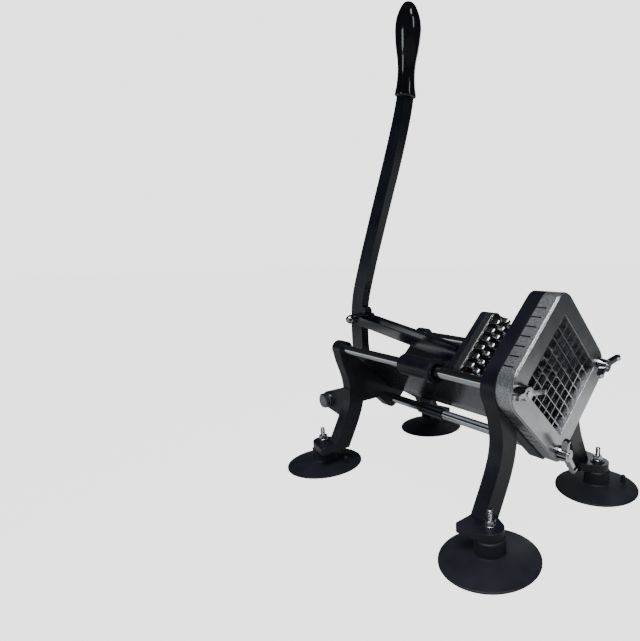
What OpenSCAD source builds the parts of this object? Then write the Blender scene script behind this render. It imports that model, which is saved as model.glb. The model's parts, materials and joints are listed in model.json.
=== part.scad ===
// Lever-operated french fry cutter on four suction feet.
// +X points to the outlet (blade) end, +Y to the cutter's right-hand guide rod, +Z up.
// The feet stand on z = 0 and the origin is the bottom centre of the whole machine.

/* [Stance] */
// Distance between the front and the rear foot studs
feet_length = 308; // [290:1:330]
// Distance between the left and the right foot studs
feet_width = 200; // [190:1:215]
// Diameter of each suction cup
cup_d = 100; // [80:1:110]
// Thickness of the suction cup's flat lip
cup_lip_t = 1.8; // [1.2:0.1:3]
// Width of the flat lip that seals on the table
cup_lip_w = 8; // [5:0.5:12]
// Height at which the cup's disc meets its neck
cup_disc_h = 7.8; // [6.5:0.1:10]
// Diameter of the cup's neck
cup_neck_d = 31; // [22:0.5:32]
// Distance of the pull knob in from the cup's edge
cup_knob_in = 16; // [12:0.5:20]
// Diameter of the pull knob
cup_knob_d = 6; // [4:0.5:8]
// Height of the pull knob above the table
cup_knob_h = 14.5; // [9:0.5:16]

/* [Castings] */
// Thickness of the front and rear castings along the machine
cast_t = 18; // [14:0.5:21]
// Distance from a casting's middle to its foot studs
foot_reach = 19.3; // [17:0.1:26]
// Width of a leg
leg_w = 22; // [18:0.5:25]
// Distance of a leg's waist from the middle of the machine
waist_y = 58.5; // [56:0.5:62]
// Height of a leg's waist
waist_z = 104; // [98:1:108]
// Height of the foot lugs' underside
lug_z = 24.5; // [20:0.5:28]
// Thickness of the foot lugs
lug_t = 9.5; // [8:0.5:13]
// Radius of the raised seat under a foot nut
lug_seat_r = 8.5; // [7:0.5:9]
// Height of that seat above the lug
lug_seat_h = 1.5; // [0.5:0.1:3]
// Radius of a foot lug's round end
lug_r = 14; // [12:0.5:16]
// How far a foot lug's heel stands out beyond the foot stud
heel_out = 17.5; // [14:0.5:20]
// Wall of the front casting below the opening
cast_wall_low = 24.2; // [23:0.1:28]
// Radius of the bosses that hold the guide rods
boss_r = 10.5; // [9.5:0.5:13]
// Radius of the round bottom of the rear casting
rear_keel_r = 8; // [4:0.5:12]
// Wall of the rear casting below the tray
rear_wall_low = 22.3; // [19:0.1:26]
// Height of the rear casting's cross web above the table
web_z = 85; // [80:1:92]

/* [Rods] */
// Height of the two guide rods above the table
rod_height = 162.5; // [160:0.5:166]
// Distance of each guide rod from the middle of the machine
rod_y = 72; // [71:0.5:76]
// Drop of the lower tie rod below the guide rods
tie_drop = 83; // [81:0.5:86]
// Diameter of the rods
rod_d = 12; // [11:0.5:13]
// Diameter of the rods' threaded ends
rod_end_d = 10; // [8:0.5:10.5]
// Diameter of the threads at the rods' front ends
rod_thread_d = 6; // [5:0.5:8]

/* [Blade cassette] */
// Side of the square opening
opening_w = 90; // [84:0.5:91]
// Corner radius of the opening
opening_r = 3; // [1:0.5:6]
// Thickness of the cassette along the machine
cas_t = 19.5; // [16:0.5:24]
// Wall above the opening
cas_wall_up = 19.8; // [18:0.1:22]
// Wall below the opening
cas_wall_low = 22.4; // [21:0.1:24]
// Corner radius at the top of the cassette and the front casting
top_r = 16; // [12:0.5:24]
// Outer corner radius at the bottom of the blade frame
low_r = 3; // [2:0.5:12]
// Corner radius at the sides of the cassette and the front casting
side_r = 28; // [22:0.5:30]
// Bevel around the cassette's front face
cas_bevel = 2; // [1:0.1:3]
// Number of cells along each side of the opening
cells = 8; // [6:1:10]
// Distance from blade to blade
blade_pitch = 11.7; // [8:0.1:11.8]
// How far the falling blades sit above the middle of the opening
blade_shift = 0.5; // [0:0.1:0.8]
// Thickness of the blades
blade_t = 0.8; // [0.5:0.1:1.2]
// Width of the blades along the machine
blade_w = 12; // [8:0.5:14]
// Width of the slots that hold the blades
slot_w = 1.5; // [1:0.1:2]
// How far the blade ends lie below the cassette's outer faces
blade_recess = 2.5; // [1:0.5:5]

/* [Wing nuts] */
// Distance from a wing nut's axis to the tip of a wing
wing_span = 23; // [18:0.5:26]
// Height of a wing nut's hub
wing_hub_h = 10.5; // [8:0.5:16]
// How far the middle of a wing's round tip rises from the washer
wing_rise = 11; // [8:0.5:16]
// Radius of a wing's round tip
wing_tip_r = 3.8; // [3:0.1:5]
// Radius of a wing nut's hub at its foot
wing_hub_r = 8; // [7:0.5:9]
// Thickness of a wing
wing_t = 4.6; // [3:0.1:6]
// Thickness of the washers under the wing nuts
wing_washer_t = 1.6; // [1:0.1:2.5]

/* [Tray] */
// Thickness of the tray's sheet
tray_t = 1.2; // [0.8:0.1:2]
// Distance of the tray's inner faces from the guide rods' centre plane, square to the face
tray_in = 47.2; // [46:0.1:48]
// Distance of the tray's upper edges from the middle of the machine
tray_edge_y = 57; // [54:0.5:58]
// Height of the stiffening flange along each upper edge
tray_flange = 5; // [2:0.5:5.5]
// Length of the clip that ties the tray to the lower rod
clip_l = 46; // [20:1:80]
// Length of that clip's upstand below the tray
clip_top_l = 22; // [12:1:44]

/* [Pusher] */
// Distance from the pusher block's face to the cassette's back at rest
standoff = 68.7; // [66:0.1:80]
// Clearance between the pusher block and the tray on each side
block_gap = 4.2; // [3:0.1:6]
// Thickness of the pusher block
block_t = 10.5; // [8:0.5:16]
// Thickness of the bright plate that carries the pins
pin_plate_t = 1.5; // [1:0.1:3]
// Corner radius of the pusher block and its plates
block_r = 7.5; // [4:0.5:14]
// Thickness of the carriage's plate
plate_t = 8.5; // [6:0.5:12]
// Width of one pusher pin
pin_w = 7; // [5:0.1:7.4]
// Width of a pin near its tip
pin_tip_w = 5.6; // [4:0.1:6.5]
// Length of the pusher pins in front of the block
pin_l = 12; // [8:0.5:20]
// Distance between neighbouring pins
pin_pitch = 11.5; // [8:0.1:11.7]
// How far the pins' grid lies below the blades' grid
pin_drop = 1; // [0:0.1:1.2]
// Length of the pins' bevelled tips
pin_tip = 1.4; // [0.8:0.1:3]
// Outer radius of the carriage's sleeves
sleeve_r = 12; // [11:0.5:13]
// Length of the carriage's sleeves
sleeve_l = 50; // [40:1:64]
// Radius of the collar at the front end of each sleeve
collar_ring_r = 13.8; // [12.5:0.1:15]
// Length of that collar
collar_ring_l = 5; // [3:0.5:8]
// Outer radius of the bushes inside the sleeves
bush_r = 8.5; // [7.5:0.1:9]
// Distance of each bush end inside its sleeve
bush_inset = 7; // [3:0.5:12]
// Thickness of the webs between the plate and the sleeves
arm_t = 9; // [6:0.5:12]

/* [Linkage] */
// Distance of the lever's pivot behind the rear foot studs
pivot_back = 32; // [29:0.5:36]
// Height of the lever's pivot above the table
pivot_z = 79; // [76:0.5:82]
// Distance of the link pin behind the lever's pivot
link_pin_back = 8; // [5:0.5:11]
// Height of the link pin above the lever's pivot
link_pin_up = 111.6; // [108:0.1:115]
// Distance of the link bars' front pin behind the carriage's plate
front_pin_back = 20.5; // [18.5:0.5:24]
// Height of a link bar
bar_h = 12.5; // [11:0.5:17]
// Thickness of a link bar
bar_t = 4; // [3:0.5:6]
// Radius of the round rear end of a link bar
bar_eye_r = 7.5; // [6.5:0.5:12]
// Diameter of the bolts through the link bars
link_bolt_d = 8; // [6:0.5:9]
// Thickness of the spacers between the lever and the link bars
link_washer_t = 5.2; // [1:0.1:6]
// How far the front pin can drop in the carriage's slotted lug
slot_drop = 23; // [22.5:0.5:26]
// Half the play along the machine of the front pin in that slot
slot_play = 2.8; // [2.7:0.1:3.2]
// Thickness of the carriage's slotted lug
lug_plate_t = 12; // [8:0.5:12]

/* [Lever] */
// Thickness of the lever from side to side
lever_t = 12; // [9:0.5:12]
// Width of the lever at its pivot end
lever_w_low = 28; // [25:0.5:30]
// Width of the lever under the grip
lever_w_top = 18; // [15:0.5:21]
// Radius of the lever's pivot hub
hub_r = 12; // [10.5:0.5:12.5]
// Radius of the stop boss on the lever's front edge
stop_r = 6.8; // [5.5:0.1:8]
// Height of that boss above the pivot
stop_up = 123; // [121:0.5:130]
// Diameter of the pivot bolt
pivot_d = 12; // [10:0.5:13]
// Thickness of the rear casting's pivot lugs
ear_t = 10; // [8:0.5:12]
// Radius of the round ends of the pivot lugs
ear_r = 12.5; // [12:0.5:14]
// Length of the grip
grip_l = 98.5; // [90:0.5:110]
// Largest radius of the grip
grip_r = 15.1; // [13:0.1:17]
// Radius of the grip's collar
collar_r = 12.8; // [11:0.1:14]
// Forward lean of the grip
grip_lean = 7.6; // [3:0.1:12]
// Diameter of the stud inside the grip
grip_stud_d = 8; // [6:0.5:9]

/* [Fasteners] */
// Diameter of the foot studs
stud_d = 6; // [5:0.5:8]
// Height of the foot studs' tops above the table
stud_top = 52; // [47:0.5:58]
// Width across flats of the foot nuts
foot_nut_af = 10; // [9:0.5:13]
// Thickness of the foot nuts
foot_nut_t = 5; // [4:0.5:7]
// Radius of the screw heads behind the rear casting
rod_screw_r = 6; // [5:0.5:8]
// Thickness of the screw heads behind the rear casting
rod_screw_t = 3.6; // [3:0.1:5]
// Diameter of the screws in the rods' rear ends
rod_screw_d = 5; // [4:0.5:6]
// Width across flats of the pivot bolt's head and nut
pivot_af = 19; // [17:0.5:21]
// Thickness of the pivot bolt's head
pivot_head_t = 7.5; // [6:0.5:9]
// Width across flats of the link bolts' heads and nuts
link_af = 13; // [11:0.5:14]
// Thickness of the link bolts' heads
link_head_t = 5.5; // [4:0.5:7]
// Thickness of the plain washers
washer_t = 1.5; // [1:0.1:2.5]
// Diameter of the screws that hold the pusher block
block_screw_d = 5; // [4:0.5:6]

/* [Hidden] */
$fn = 64;

// Clearances: parts that turn or slide, parts that are bolted, and parts that only sit
run_gap = 0.05;
bolt_gap = 0.2;
seat_gap = 0.3;

function arc(c, r, a0, a1, n = 10) =
    [for (i = [0:n]) let (a = a0 + (a1 - a0) * i / n) c + r * [cos(a), sin(a)]];

// Angle on a circle at which the tangent from point p touches it; side is +1 or -1
function touch(c, r, p, side) =
    let (d = p - c) atan2(d[1], d[0]) + side * acos(r / norm(d));

// Cubic Bezier point
function bez(p, t) = pow(1 - t, 3) * p[0] + 3 * t * pow(1 - t, 2) * p[1]
    + 3 * t * t * (1 - t) * p[2] + pow(t, 3) * p[3];

// Smooth curve through all points of p, with n steps between neighbours
function cr(p, i, t) = let (
        a = p[max(i - 1, 0)], b = p[i], c = p[i + 1], d = p[min(i + 2, len(p) - 1)])
    0.5 * (2 * b + (c - a) * t + (2 * a - 5 * b + 4 * c - d) * t * t
        + (3 * b - a - 3 * c + d) * t * t * t);
function smooth(p, n) = concat(
    [for (i = [0:len(p) - 2], k = [0:n - 1]) cr(p, i, k / n)], [p[len(p) - 1]]);

// Outline of a band that follows path p, with half widths w
function unit(v) = v / norm(v);
function dir_at(p, i) = unit(p[min(i + 1, len(p) - 1)] - p[max(i - 1, 0)]);
function side_of(p, w, s) = [for (i = [0:len(p) - 1])
    let (d = dir_at(p, i)) p[i] + s * w[i] * [-d[1], d[0]]];
function band(p, w) = concat(side_of(p, w, 1),
    [for (q = [len(p) - 1:-1:0]) side_of(p, w, -1)[q]]);

// Centre line of the lever in (x, z), measured from the pivot
lever_line = smooth([[0, 0], [-12, 50], [-14.6, 85], [-9, 135], [11, 183], [45, 250],
    [84, 324], [105, 368], [114, 392]], 5);
lever_steps = len(lever_line) - 1;
lever_half = [for (i = [0:lever_steps]) let (t = max(0, (i / lever_steps - 0.3) / 0.7))
    (lever_w_low * (1 - t) + lever_w_top * t) / 2];
lever_top = lever_line[lever_steps];
lever_bulge = -min([for (p = band(lever_line, lever_half)) p[0]]);

// Positions along the machine
front_x = (feet_length + pivot_back + lever_bulge - cup_d / 2) / 2;
rear_x = front_x - feet_length;
fc_front = front_x - foot_reach + cast_t / 2;
tie_height = rod_height - tie_drop;
fc_back = fc_front - cast_t;
rc_back = rear_x + foot_reach - cast_t / 2;
rc_front = rc_back + cast_t;
cas_front = fc_front + cas_t;
block_x = fc_front - standoff;
plate_x = block_x - pin_plate_t - block_t;
plate_back = plate_x - plate_t;
sleeve_x = plate_back - 5.5 - sleeve_l;
pivot_x = rear_x - pivot_back;
link_rear = [pivot_x - link_pin_back, pivot_z + link_pin_up];
link_front = [plate_back - front_pin_back, rod_height];

// Distances square to the diamond's sides, measured from the guide rods' centre plane
half_open = opening_w / 2;
ring_open = half_open + 1;
edge_up = half_open + cas_wall_up;
tray_out = tray_in + tray_t;
block_w = 2 * (tray_in - block_gap);
seat_in = tray_out + seat_gap;

// Positions across the machine
ear_out = waist_y + leg_w / 2 + 1.5;      // outer faces of the pivot lugs
ear_in = ear_out - ear_t;
bar_in = lever_t / 2 + link_washer_t;
bar_out = bar_in + bar_t;
lug_top = lug_z + lug_t + lug_seat_h;
span = 400;                               // longer than any cut has to be

// ---------- helpers ----------

// Places a flat outline drawn in (y, z) at x0 and gives it a thickness along +X
module along_x(x0, thickness) {
    translate([x0, 0, 0]) rotate([90, 0, 90]) linear_extrude(thickness) children();
}

// Places a flat outline drawn in (x, z) between y0 and y0 + thickness
module along_y(y0, thickness) {
    translate([0, y0 + thickness, 0]) rotate([90, 0, 0]) linear_extrude(thickness) children();
}

module rod_x(x0, x1, r) { translate([x0, 0, 0]) rotate([0, 90, 0]) cylinder(h = x1 - x0, r = r); }
module rod_y_axis(y0, y1, r) { translate([0, y0, 0]) rotate([-90, 0, 0]) cylinder(h = y1 - y0, r = r); }
module hex_x(x0, x1, af) {
    translate([x0, 0, 0]) rotate([0, 90, 0]) cylinder(h = x1 - x0, d = af / cos(30), $fn = 6);
}
module hex_y(y0, y1, af) {
    translate([0, y0, 0]) rotate([-90, 0, 0]) cylinder(h = y1 - y0, d = af / cos(30), $fn = 6);
}

// Puts children at each rod: left, right and lower
module at_rods() {
    for (p = [[-rod_y, rod_height], [rod_y, rod_height], [0, tie_height]])
        translate([0, p[0], p[1]]) children();
}

// Puts children at each foot stud, mirrored so that +X is always away from the castings
module at_feet() {
    for (fx = [front_x, rear_x], s = [-1, 1])
        translate([fx, s * feet_width / 2, 0]) scale_to_corner(fx, s) children();
}
module scale_to_corner(fx, s) {
    mirror([fx < 0 ? 1 : 0, 0, 0]) mirror([0, s < 0 ? 1 : 0, 0]) children();
}

// Square standing on its corner around the guide rods' centre line. up and low are the
// distances of its upper and lower sides from that line, the rest are corner radii.
module diamond(up, low, r_top, r_side, r_low) {
    translate([0, rod_height]) rotate(45) polygon(concat(
        arc([up - r_top, up - r_top], r_top, 0, 90),
        arc([-low + r_side, up - r_side], r_side, 90, 180),
        arc([-low + r_low, -low + r_low], r_low, 180, 270),
        arc([up - r_side, -low + r_side], r_side, 270, 360)));
}

module square_on_corner(half) {
    translate([0, rod_height]) rotate(45) square(2 * half, center = true);
}

// The same square with round corners
module rounded_on_corner(half, r) { diamond(half, half, r, r, r); }

// ---------- castings ----------

leg_rise = rod_height - waist_z;          // from the waist up to the guide rods
leg_drop = waist_z - lug_z;               // from the waist down to the foot lugs

// Centre line of the right leg in (y, z), from the guide rod to inside the foot lug
leg_line = concat(
    [for (i = [0:7]) bez([[rod_y - 1, rod_height],
        [rod_y - 4, rod_height - 0.39 * leg_rise],
        [waist_y, waist_z + 0.43 * leg_rise], [waist_y, waist_z]], i / 8)],
    [for (i = [0:10]) bez([[waist_y, waist_z], [waist_y, waist_z - 0.33 * leg_drop],
        [0.37 * feet_width, lug_z + 0.39 * leg_drop],
        [0.4475 * feet_width, lug_z - 1]], i / 10)]);

module leg_outline() {
    intersection() {
        polygon(band(leg_line, [for (p = leg_line) leg_w / 2]));
        translate([-span, lug_z]) square([2 * span, span]);
    }
}

module both_sides() { children(); mirror([1, 0]) children(); }

// Foot lug seen from above, stud at the origin, castings towards -X
heel_x = -foot_reach - cast_t / 2;
toe_x = -foot_reach + cast_t / 2;
heel_corner = [heel_x, heel_out];
instep = [toe_x, -20];
module foot_lug() {
    stud = [0, 0];
    a_in = touch(stud, lug_r, instep, 1);
    a_out = touch(stud, lug_r, heel_corner, -1);
    difference() {
        union() {
            translate([0, 0, lug_z]) linear_extrude(lug_t) polygon(concat(
                [[heel_x, instep[1]], instep], arc(stud, lug_r, a_in, a_out, 16),
                [heel_corner + [2, 1.2], heel_corner, heel_corner - [0, 1]]));
            translate([0, 0, lug_z]) cylinder(h = lug_t + lug_seat_h, r = lug_seat_r);
        }
        translate([0, 0, lug_z - 1]) cylinder(h = lug_t + lug_seat_h + 2, d = stud_d + 2 * bolt_gap);
    }
}

module feet_of(fx) {
    for (s = [-1, 1]) translate([fx, s * feet_width / 2, 0]) scale_to_corner(fx, s) foot_lug();
}

// Short ledge behind the front casting that the tray's front end lies on
ledge_l = 8;
ledge_t = 5;
ledge_side = 6;                           // from the tray's edges in to the ledge's
ledge_drop = 22;                          // from the guide rods down to the ledge's top

module v_ledge(inner, thickness) {
    intersection() {
        difference() {
            square_on_corner(inner + thickness);
            square_on_corner(inner);
        }
        translate([-tray_edge_y + ledge_side, tie_height])
            square([2 * (tray_edge_y - ledge_side), rod_height - tie_height - ledge_drop]);
    }
}

module front_frame() color("#26272b") {
    difference() {
        union() {
            along_x(fc_back, cast_t) union() {
                diamond(edge_up, half_open + cast_wall_low, top_r, side_r, 3);
                both_sides() leg_outline();
            }
            along_x(fc_back - ledge_l, ledge_l + 1) v_ledge(seat_in, ledge_t);
            feet_of(front_x);
        }
        along_x(fc_back - 1, cast_t + 2) rounded_on_corner(ring_open, opening_r);
        at_rods() rod_x(fc_back - ledge_l - 1, fc_front + 1, rod_thread_d / 2 + bolt_gap);
    }
}

// Pivot lug in (x, z), reaching back from the rear casting
ear_low = 60;
ear_high = 106;
module ear_outline() {
    c = [pivot_x, pivot_z];
    top = [rc_back + 1, ear_high];
    low = [rc_back + 1, ear_low];
    polygon(concat([low, top], arc(c, ear_r, touch(c, ear_r, top, 1),
        360 + touch(c, ear_r, low, -1), 16)));
}

module rear_plate_outline() {
    difference() {
        union() {
            both_sides() leg_outline();
            both_sides() translate([rod_y, rod_height]) circle(boss_r);
            intersection() {
                diamond(2 * edge_up, seat_in + rear_wall_low, 1, 1, rear_keel_r);
                translate([-rod_y, 0]) square([2 * rod_y, rod_height - 8]);
            }
            translate([-waist_y, web_z]) square([2 * waist_y, 30]);
        }
        translate([0, rod_height]) rotate(45) translate([-seat_in, -seat_in])
            square(2 * seat_in + 60);
    }
}

module rear_frame() color("#26272b") {
    difference() {
        union() {
            along_x(rc_back, cast_t) rear_plate_outline();
            along_x(rc_back, cast_t) both_sides() translate([rod_y, rod_height]) circle(boss_r);
            for (s = [0, 1]) mirror([0, s, 0]) along_y(ear_in, ear_t) ear_outline();
            for (s = [0, 1]) mirror([0, s, 0]) along_x(rc_back, cast_t)
                translate([waist_y + 3, ear_low]) square([ear_out - waist_y - 3, ear_high - ear_low]);
            feet_of(rear_x);
        }
        at_rods() rod_x(rc_back - 1, rc_front + 1, rod_end_d / 2 + bolt_gap);
        translate([pivot_x, 0, pivot_z]) rod_y_axis(-span / 2, span / 2, pivot_d / 2 + bolt_gap);
    }
}

// ---------- rods ----------

rod_tip_front = cas_front + wing_washer_t + wing_hub_h + 1;
rod_tip_rear = rc_back + 1;
rod_screw_in = 14;                        // how far the rear screws reach into the rods
body_front = fc_back - 0.1;
body_rear = rc_front + 0.1;

module rod() {
    difference() {
        union() {
            rod_x(body_rear, body_front, rod_d / 2);
            rod_x(rod_tip_rear, body_rear + 1, rod_end_d / 2);
            rod_x(body_front - 1, rod_tip_front, rod_thread_d / 2);
        }
        rod_x(rod_tip_rear - 1, rc_back + rod_screw_in + 1, rod_screw_d / 2 + run_gap);
    }
}

module guide_rod_left() color("#c9ccd0") translate([0, -rod_y, rod_height]) rod();
module guide_rod_right() color("#c9ccd0") translate([0, rod_y, rod_height]) rod();
module lower_tie_rod() color("#c9ccd0") translate([0, 0, tie_height]) rod();

module rod_end_screws() color("#b9bcc0") at_rods() difference() {
    union() {
        rod_x(rc_back - washer_t - rod_screw_t, rc_back - washer_t, rod_screw_r);
        rod_x(rc_back - washer_t, rc_back + rod_screw_in, rod_screw_d / 2);
    }
    hex_x(rc_back - span / 8, rc_back - washer_t - rod_screw_t / 2, rod_screw_r);
}

module rod_end_washers() color("#b9bcc0") at_rods() difference() {
    rod_x(rc_back - washer_t, rc_back, rod_screw_r + 1);
    rod_x(rc_back - washer_t - 1, rc_back + 1, rod_screw_d / 2 + bolt_gap);
}

// ---------- tray ----------

// Cross section of the tray: two sheets that meet at the keel, with upright flanges
tray_edge_z = rod_height - tray_out * sqrt(2) + tray_edge_y;
module tray_section() {
    difference() {
        intersection() {
            square_on_corner(tray_out);
            translate([-tray_edge_y, 0]) square([2 * tray_edge_y, tray_edge_z]);
        }
        square_on_corner(tray_in);
    }
    both_sides() translate([tray_edge_y - tray_t, tray_edge_z - 0.3])
        square([tray_t, tray_flange + 0.3]);
}

module potato_tray() color("#c4c7ca") along_x(rc_back, fc_back - seat_gap - rc_back) tray_section();

// Clip that rides on the lower rod and carries the keel of the tray
clip_x = rc_front + 66;
clip_r = rod_d / 2 + bolt_gap + 1.4;
keel_z = rod_height - tray_out * sqrt(2);
module tray_clip() color("#aeb1b5") {
    difference() {
        union() {
            translate([0, 0, tie_height]) rod_x(clip_x, clip_x + clip_l, clip_r);
            translate([clip_x, -2, tie_height]) cube([clip_top_l, 4, keel_z - seat_gap - tie_height]);
        }
        translate([0, 0, tie_height]) rod_x(clip_x - 1, clip_x + clip_l + 1, rod_d / 2 + bolt_gap);
    }
}

// ---------- blade cassette ----------

first_blade = -blade_pitch * (cells - 2) / 2;

// Slots for the blades that run across local direction k (0: rising, 1: falling)
module blade_places(k) {
    translate([0, rod_height]) rotate(45 + 90 * k)
        for (i = [0:cells - 2]) translate([0, first_blade + blade_pitch * i - k * blade_shift]) children();
}

module blade_frame() color("#d4d6d8") {
    difference() {
        union() {
            along_x(fc_front, cas_t - cas_bevel)
                diamond(edge_up, half_open + cas_wall_low, top_r, side_r, low_r);
            along_x(cas_front - cas_bevel, cas_bevel)
                diamond(edge_up - cas_bevel / 2, half_open + cas_wall_low - cas_bevel / 2,
                    top_r - cas_bevel / 2, side_r - cas_bevel / 2, low_r - cas_bevel / 2);
        }
        along_x(fc_front - 1, cas_t + 2) rounded_on_corner(half_open, opening_r);
        for (k = [0, 1]) along_x(fc_front - 1, blade_w + 1)
            blade_places(k) translate([-span / 4, -slot_w / 2]) square([span / 2, slot_w]);
        at_rods() rod_x(fc_front - 1, cas_front + 1, rod_thread_d / 2 + bolt_gap);
    }
}

// One set of blades. Each strip is notched halfway where it crosses the other set.
module blade_set(k) {
    low = half_open + cas_wall_low - blade_recess;
    up = edge_up - blade_recess;
    back = k == 0 ? low : up;
    front = k == 0 ? up : low;
    notch_x = k == 0 ? fc_front - 1 : fc_front + blade_w / 2;
    difference() {
        along_x(fc_front, blade_w) blade_places(k)
            translate([-(k == 0 ? low : low), -blade_t / 2]) square([low + up, blade_t]);
        along_x(notch_x, blade_w / 2 + 1 + run_gap) blade_places(1 - k)
            translate([-span / 4, -blade_t / 2 - run_gap]) square([span / 2, blade_t + 2 * run_gap]);
    }
}

module blades_rising() color("#e4e6e8") blade_set(0);
module blades_falling() color("#e4e6e8") blade_set(1);

// ---------- wing nuts ----------

wing_x = cas_front + wing_washer_t;
module wing_outline() {
    tip = [wing_rise, wing_span - wing_tip_r];
    polygon(concat([[1.5, wing_hub_r - 3], [wing_hub_h * 0.35, wing_hub_r]],
        arc(tip, wing_tip_r, 150, -60, 14), [[wing_hub_h, wing_hub_r - 3]]));
}

module wing_nut(turn) {
    difference() {
        union() {
            translate([wing_x, 0, 0]) rotate([0, 90, 0])
                cylinder(h = wing_hub_h, r1 = wing_hub_r, r2 = wing_hub_r - 1.4);
            rotate([turn, 0, 0]) for (s = [0, 1]) mirror([0, s, 0])
                translate([wing_x, 0, -wing_t / 2]) linear_extrude(wing_t) wing_outline();
        }
        rod_x(wing_x - 1, wing_x + wing_hub_h + 20, rod_thread_d / 2 + run_gap);
    }
}

// How far each wing nut is turned from level
turn_left = -4;
turn_right = 20;
turn_lower = -66;
module wing_nut_left() color("#dfe1e4") translate([0, -rod_y, rod_height]) wing_nut(turn_left);
module wing_nut_right() color("#dfe1e4") translate([0, rod_y, rod_height]) wing_nut(turn_right);
module wing_nut_lower() color("#dfe1e4") translate([0, 0, tie_height]) wing_nut(turn_lower);

module wing_nut_washers() color("#c3c6ca") at_rods() difference() {
    rod_x(cas_front, wing_x - seat_gap, wing_hub_r + 0.3);
    rod_x(cas_front - 1, wing_x, rod_thread_d / 2 + bolt_gap);
}

// ---------- pusher ----------

plate_half = block_w / 2;
arm_clear = bar_out + link_head_t + 6;    // room for the link bars' front bolt between the webs

// One web in (x, y): fills the corner between a sleeve and the plate with a round inner edge
module arm_outline() {
    inner = rod_y - sleeve_r + 3;
    reach = sleeve_l - 4;
    far = [plate_back - 5.5 - reach, inner];
    near = [plate_back + 1, arm_clear];
    polygon(concat([[plate_back + 1, inner]],
        [for (i = [0:10]) bez([far, far + [24, -3], near - [12, -14], near], i / 10)]));
}

slot_x = link_front[0];
slot_half = link_bolt_d / 2 + slot_play;
rib_back = slot_x - slot_half - 5.5;
rib_top = rod_height + link_bolt_d / 2 + 4.5;
rib_low = rod_height - slot_drop - link_bolt_d / 2 - 5.5;

// Lug between the link bars, with the slot in which their front bolt moves
module slotted_lug() {
    difference() {
        along_y(-lug_plate_t / 2, lug_plate_t)
            translate([rib_back, rib_low]) square([plate_back + 1 - rib_back, rib_top - rib_low]);
        for (z = [rod_height, rod_height - slot_drop]) translate([slot_x, 0, z])
            rod_y_axis(-lug_plate_t, lug_plate_t, slot_half);
        translate([slot_x - slot_half, -lug_plate_t, rod_height - slot_drop])
            cube([2 * slot_half, 2 * lug_plate_t, slot_drop]);
    }
}

screw_spot = block_w / 2 - 12;
module at_block_screws() {
    for (a = [0:90:270]) translate([0, 0, rod_height]) rotate([a + 45, 0, 0])
        translate([0, screw_spot, 0]) children();
}

module carriage() color("#2a2b2e") {
    difference() {
        union() {
            along_x(plate_back, plate_t) rounded_on_corner(plate_half, block_r);
            for (s = [-1, 1]) translate([0, s * rod_y, rod_height])
                rod_x(sleeve_x, sleeve_x + sleeve_l, sleeve_r);
            for (s = [-1, 1]) translate([0, s * rod_y, rod_height])
                rod_x(sleeve_x + sleeve_l - 1, sleeve_x + sleeve_l + collar_ring_l - 1, collar_ring_r);
            for (s = [0, 1]) mirror([0, s, 0]) translate([0, 0, rod_height - arm_t / 2])
                linear_extrude(arm_t) arm_outline();
            slotted_lug();
        }
        for (s = [-1, 1]) translate([0, s * rod_y, rod_height])
            rod_x(sleeve_x - 1, sleeve_x + sleeve_l + collar_ring_l, bush_r + run_gap);
        at_block_screws() rod_x(plate_back - 1, plate_x + 1, block_screw_d / 2 + bolt_gap);
    }
}

screw_depth = block_t - 3;
module pusher_block() color("#55585c") {
    difference() {
        along_x(plate_x, block_t) rounded_on_corner(plate_half, block_r);
        at_block_screws() rod_x(plate_x - 1, plate_x + screw_depth + 0.3, block_screw_d / 2 + run_gap);
    }
}

module block_screws() color("#9fa3a8") at_block_screws() {
    rod_x(plate_back - 3.2, plate_x + screw_depth, block_screw_d / 2);
    hex_x(plate_back - 3.2, plate_back, block_screw_d * 1.6);
}

// Bright plate in front of the block
module pin_plate() color("#c9ccd0")
    along_x(block_x - pin_plate_t, pin_plate_t) rounded_on_corner(plate_half, block_r);

// One pin: a tapered square peg on a low square foot, with a bevelled tip
module pin() {
    foot = pin_w / 2 + 0.7;
    half = [foot, foot, pin_w / 2, pin_tip_w / 2, pin_tip_w / 2 - 0.8];
    at = [0, 1, 1, pin_l - pin_tip, pin_l];
    flat = concat([for (i = [0:4]) [at[i], half[i]]], [for (i = [4:-1:0]) [at[i], -half[i]]]);
    intersection() {
        translate([0, 0, -pin_w]) linear_extrude(2 * pin_w) polygon(flat);
        rotate([90, 0, 0]) translate([0, 0, -pin_w]) linear_extrude(2 * pin_w) polygon(flat);
    }
}

// A pin faces every cell of the opening except the four in its corners
first_pin = -pin_pitch * (cells - 1) / 2;
module pusher_pins() color("#d9dbde") translate([block_x, 0, rod_height - pin_drop]) rotate([45, 0, 0])
    for (i = [0:cells - 1], j = [0:cells - 1])
        if (i % (cells - 1) != 0 || j % (cells - 1) != 0)
            translate([0, first_pin + pin_pitch * i, first_pin + pin_pitch * j]) pin();

module bush(y) {
    translate([0, y, rod_height]) difference() {
        rod_x(sleeve_x + bush_inset, sleeve_x + sleeve_l - bush_inset, bush_r);
        rod_x(sleeve_x, sleeve_x + sleeve_l, rod_d / 2 + run_gap);
    }
}
module bush_left() color("#b58f4c") bush(-rod_y);
module bush_right() color("#b58f4c") bush(rod_y);

// ---------- linkage ----------

bar_angle = atan2(link_front[1] - link_rear[1], link_front[0] - link_rear[0]);
bar_length = norm(link_front - link_rear);

module bar_outline() {
    difference() {
        translate(link_rear) rotate(bar_angle) {
            translate([0, -bar_h / 2]) square([bar_length, bar_h]);
            circle(bar_eye_r);
            translate([bar_length, 0]) circle(bar_h / 2);
        }
        for (p = [link_rear, link_front]) translate(p) circle(link_bolt_d / 2 + run_gap);
    }
}

module link_bar_left() color("#1b1c1f") along_y(-bar_out, bar_t) bar_outline();
module link_bar_right() color("#1b1c1f") along_y(bar_in, bar_t) bar_outline();

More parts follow.
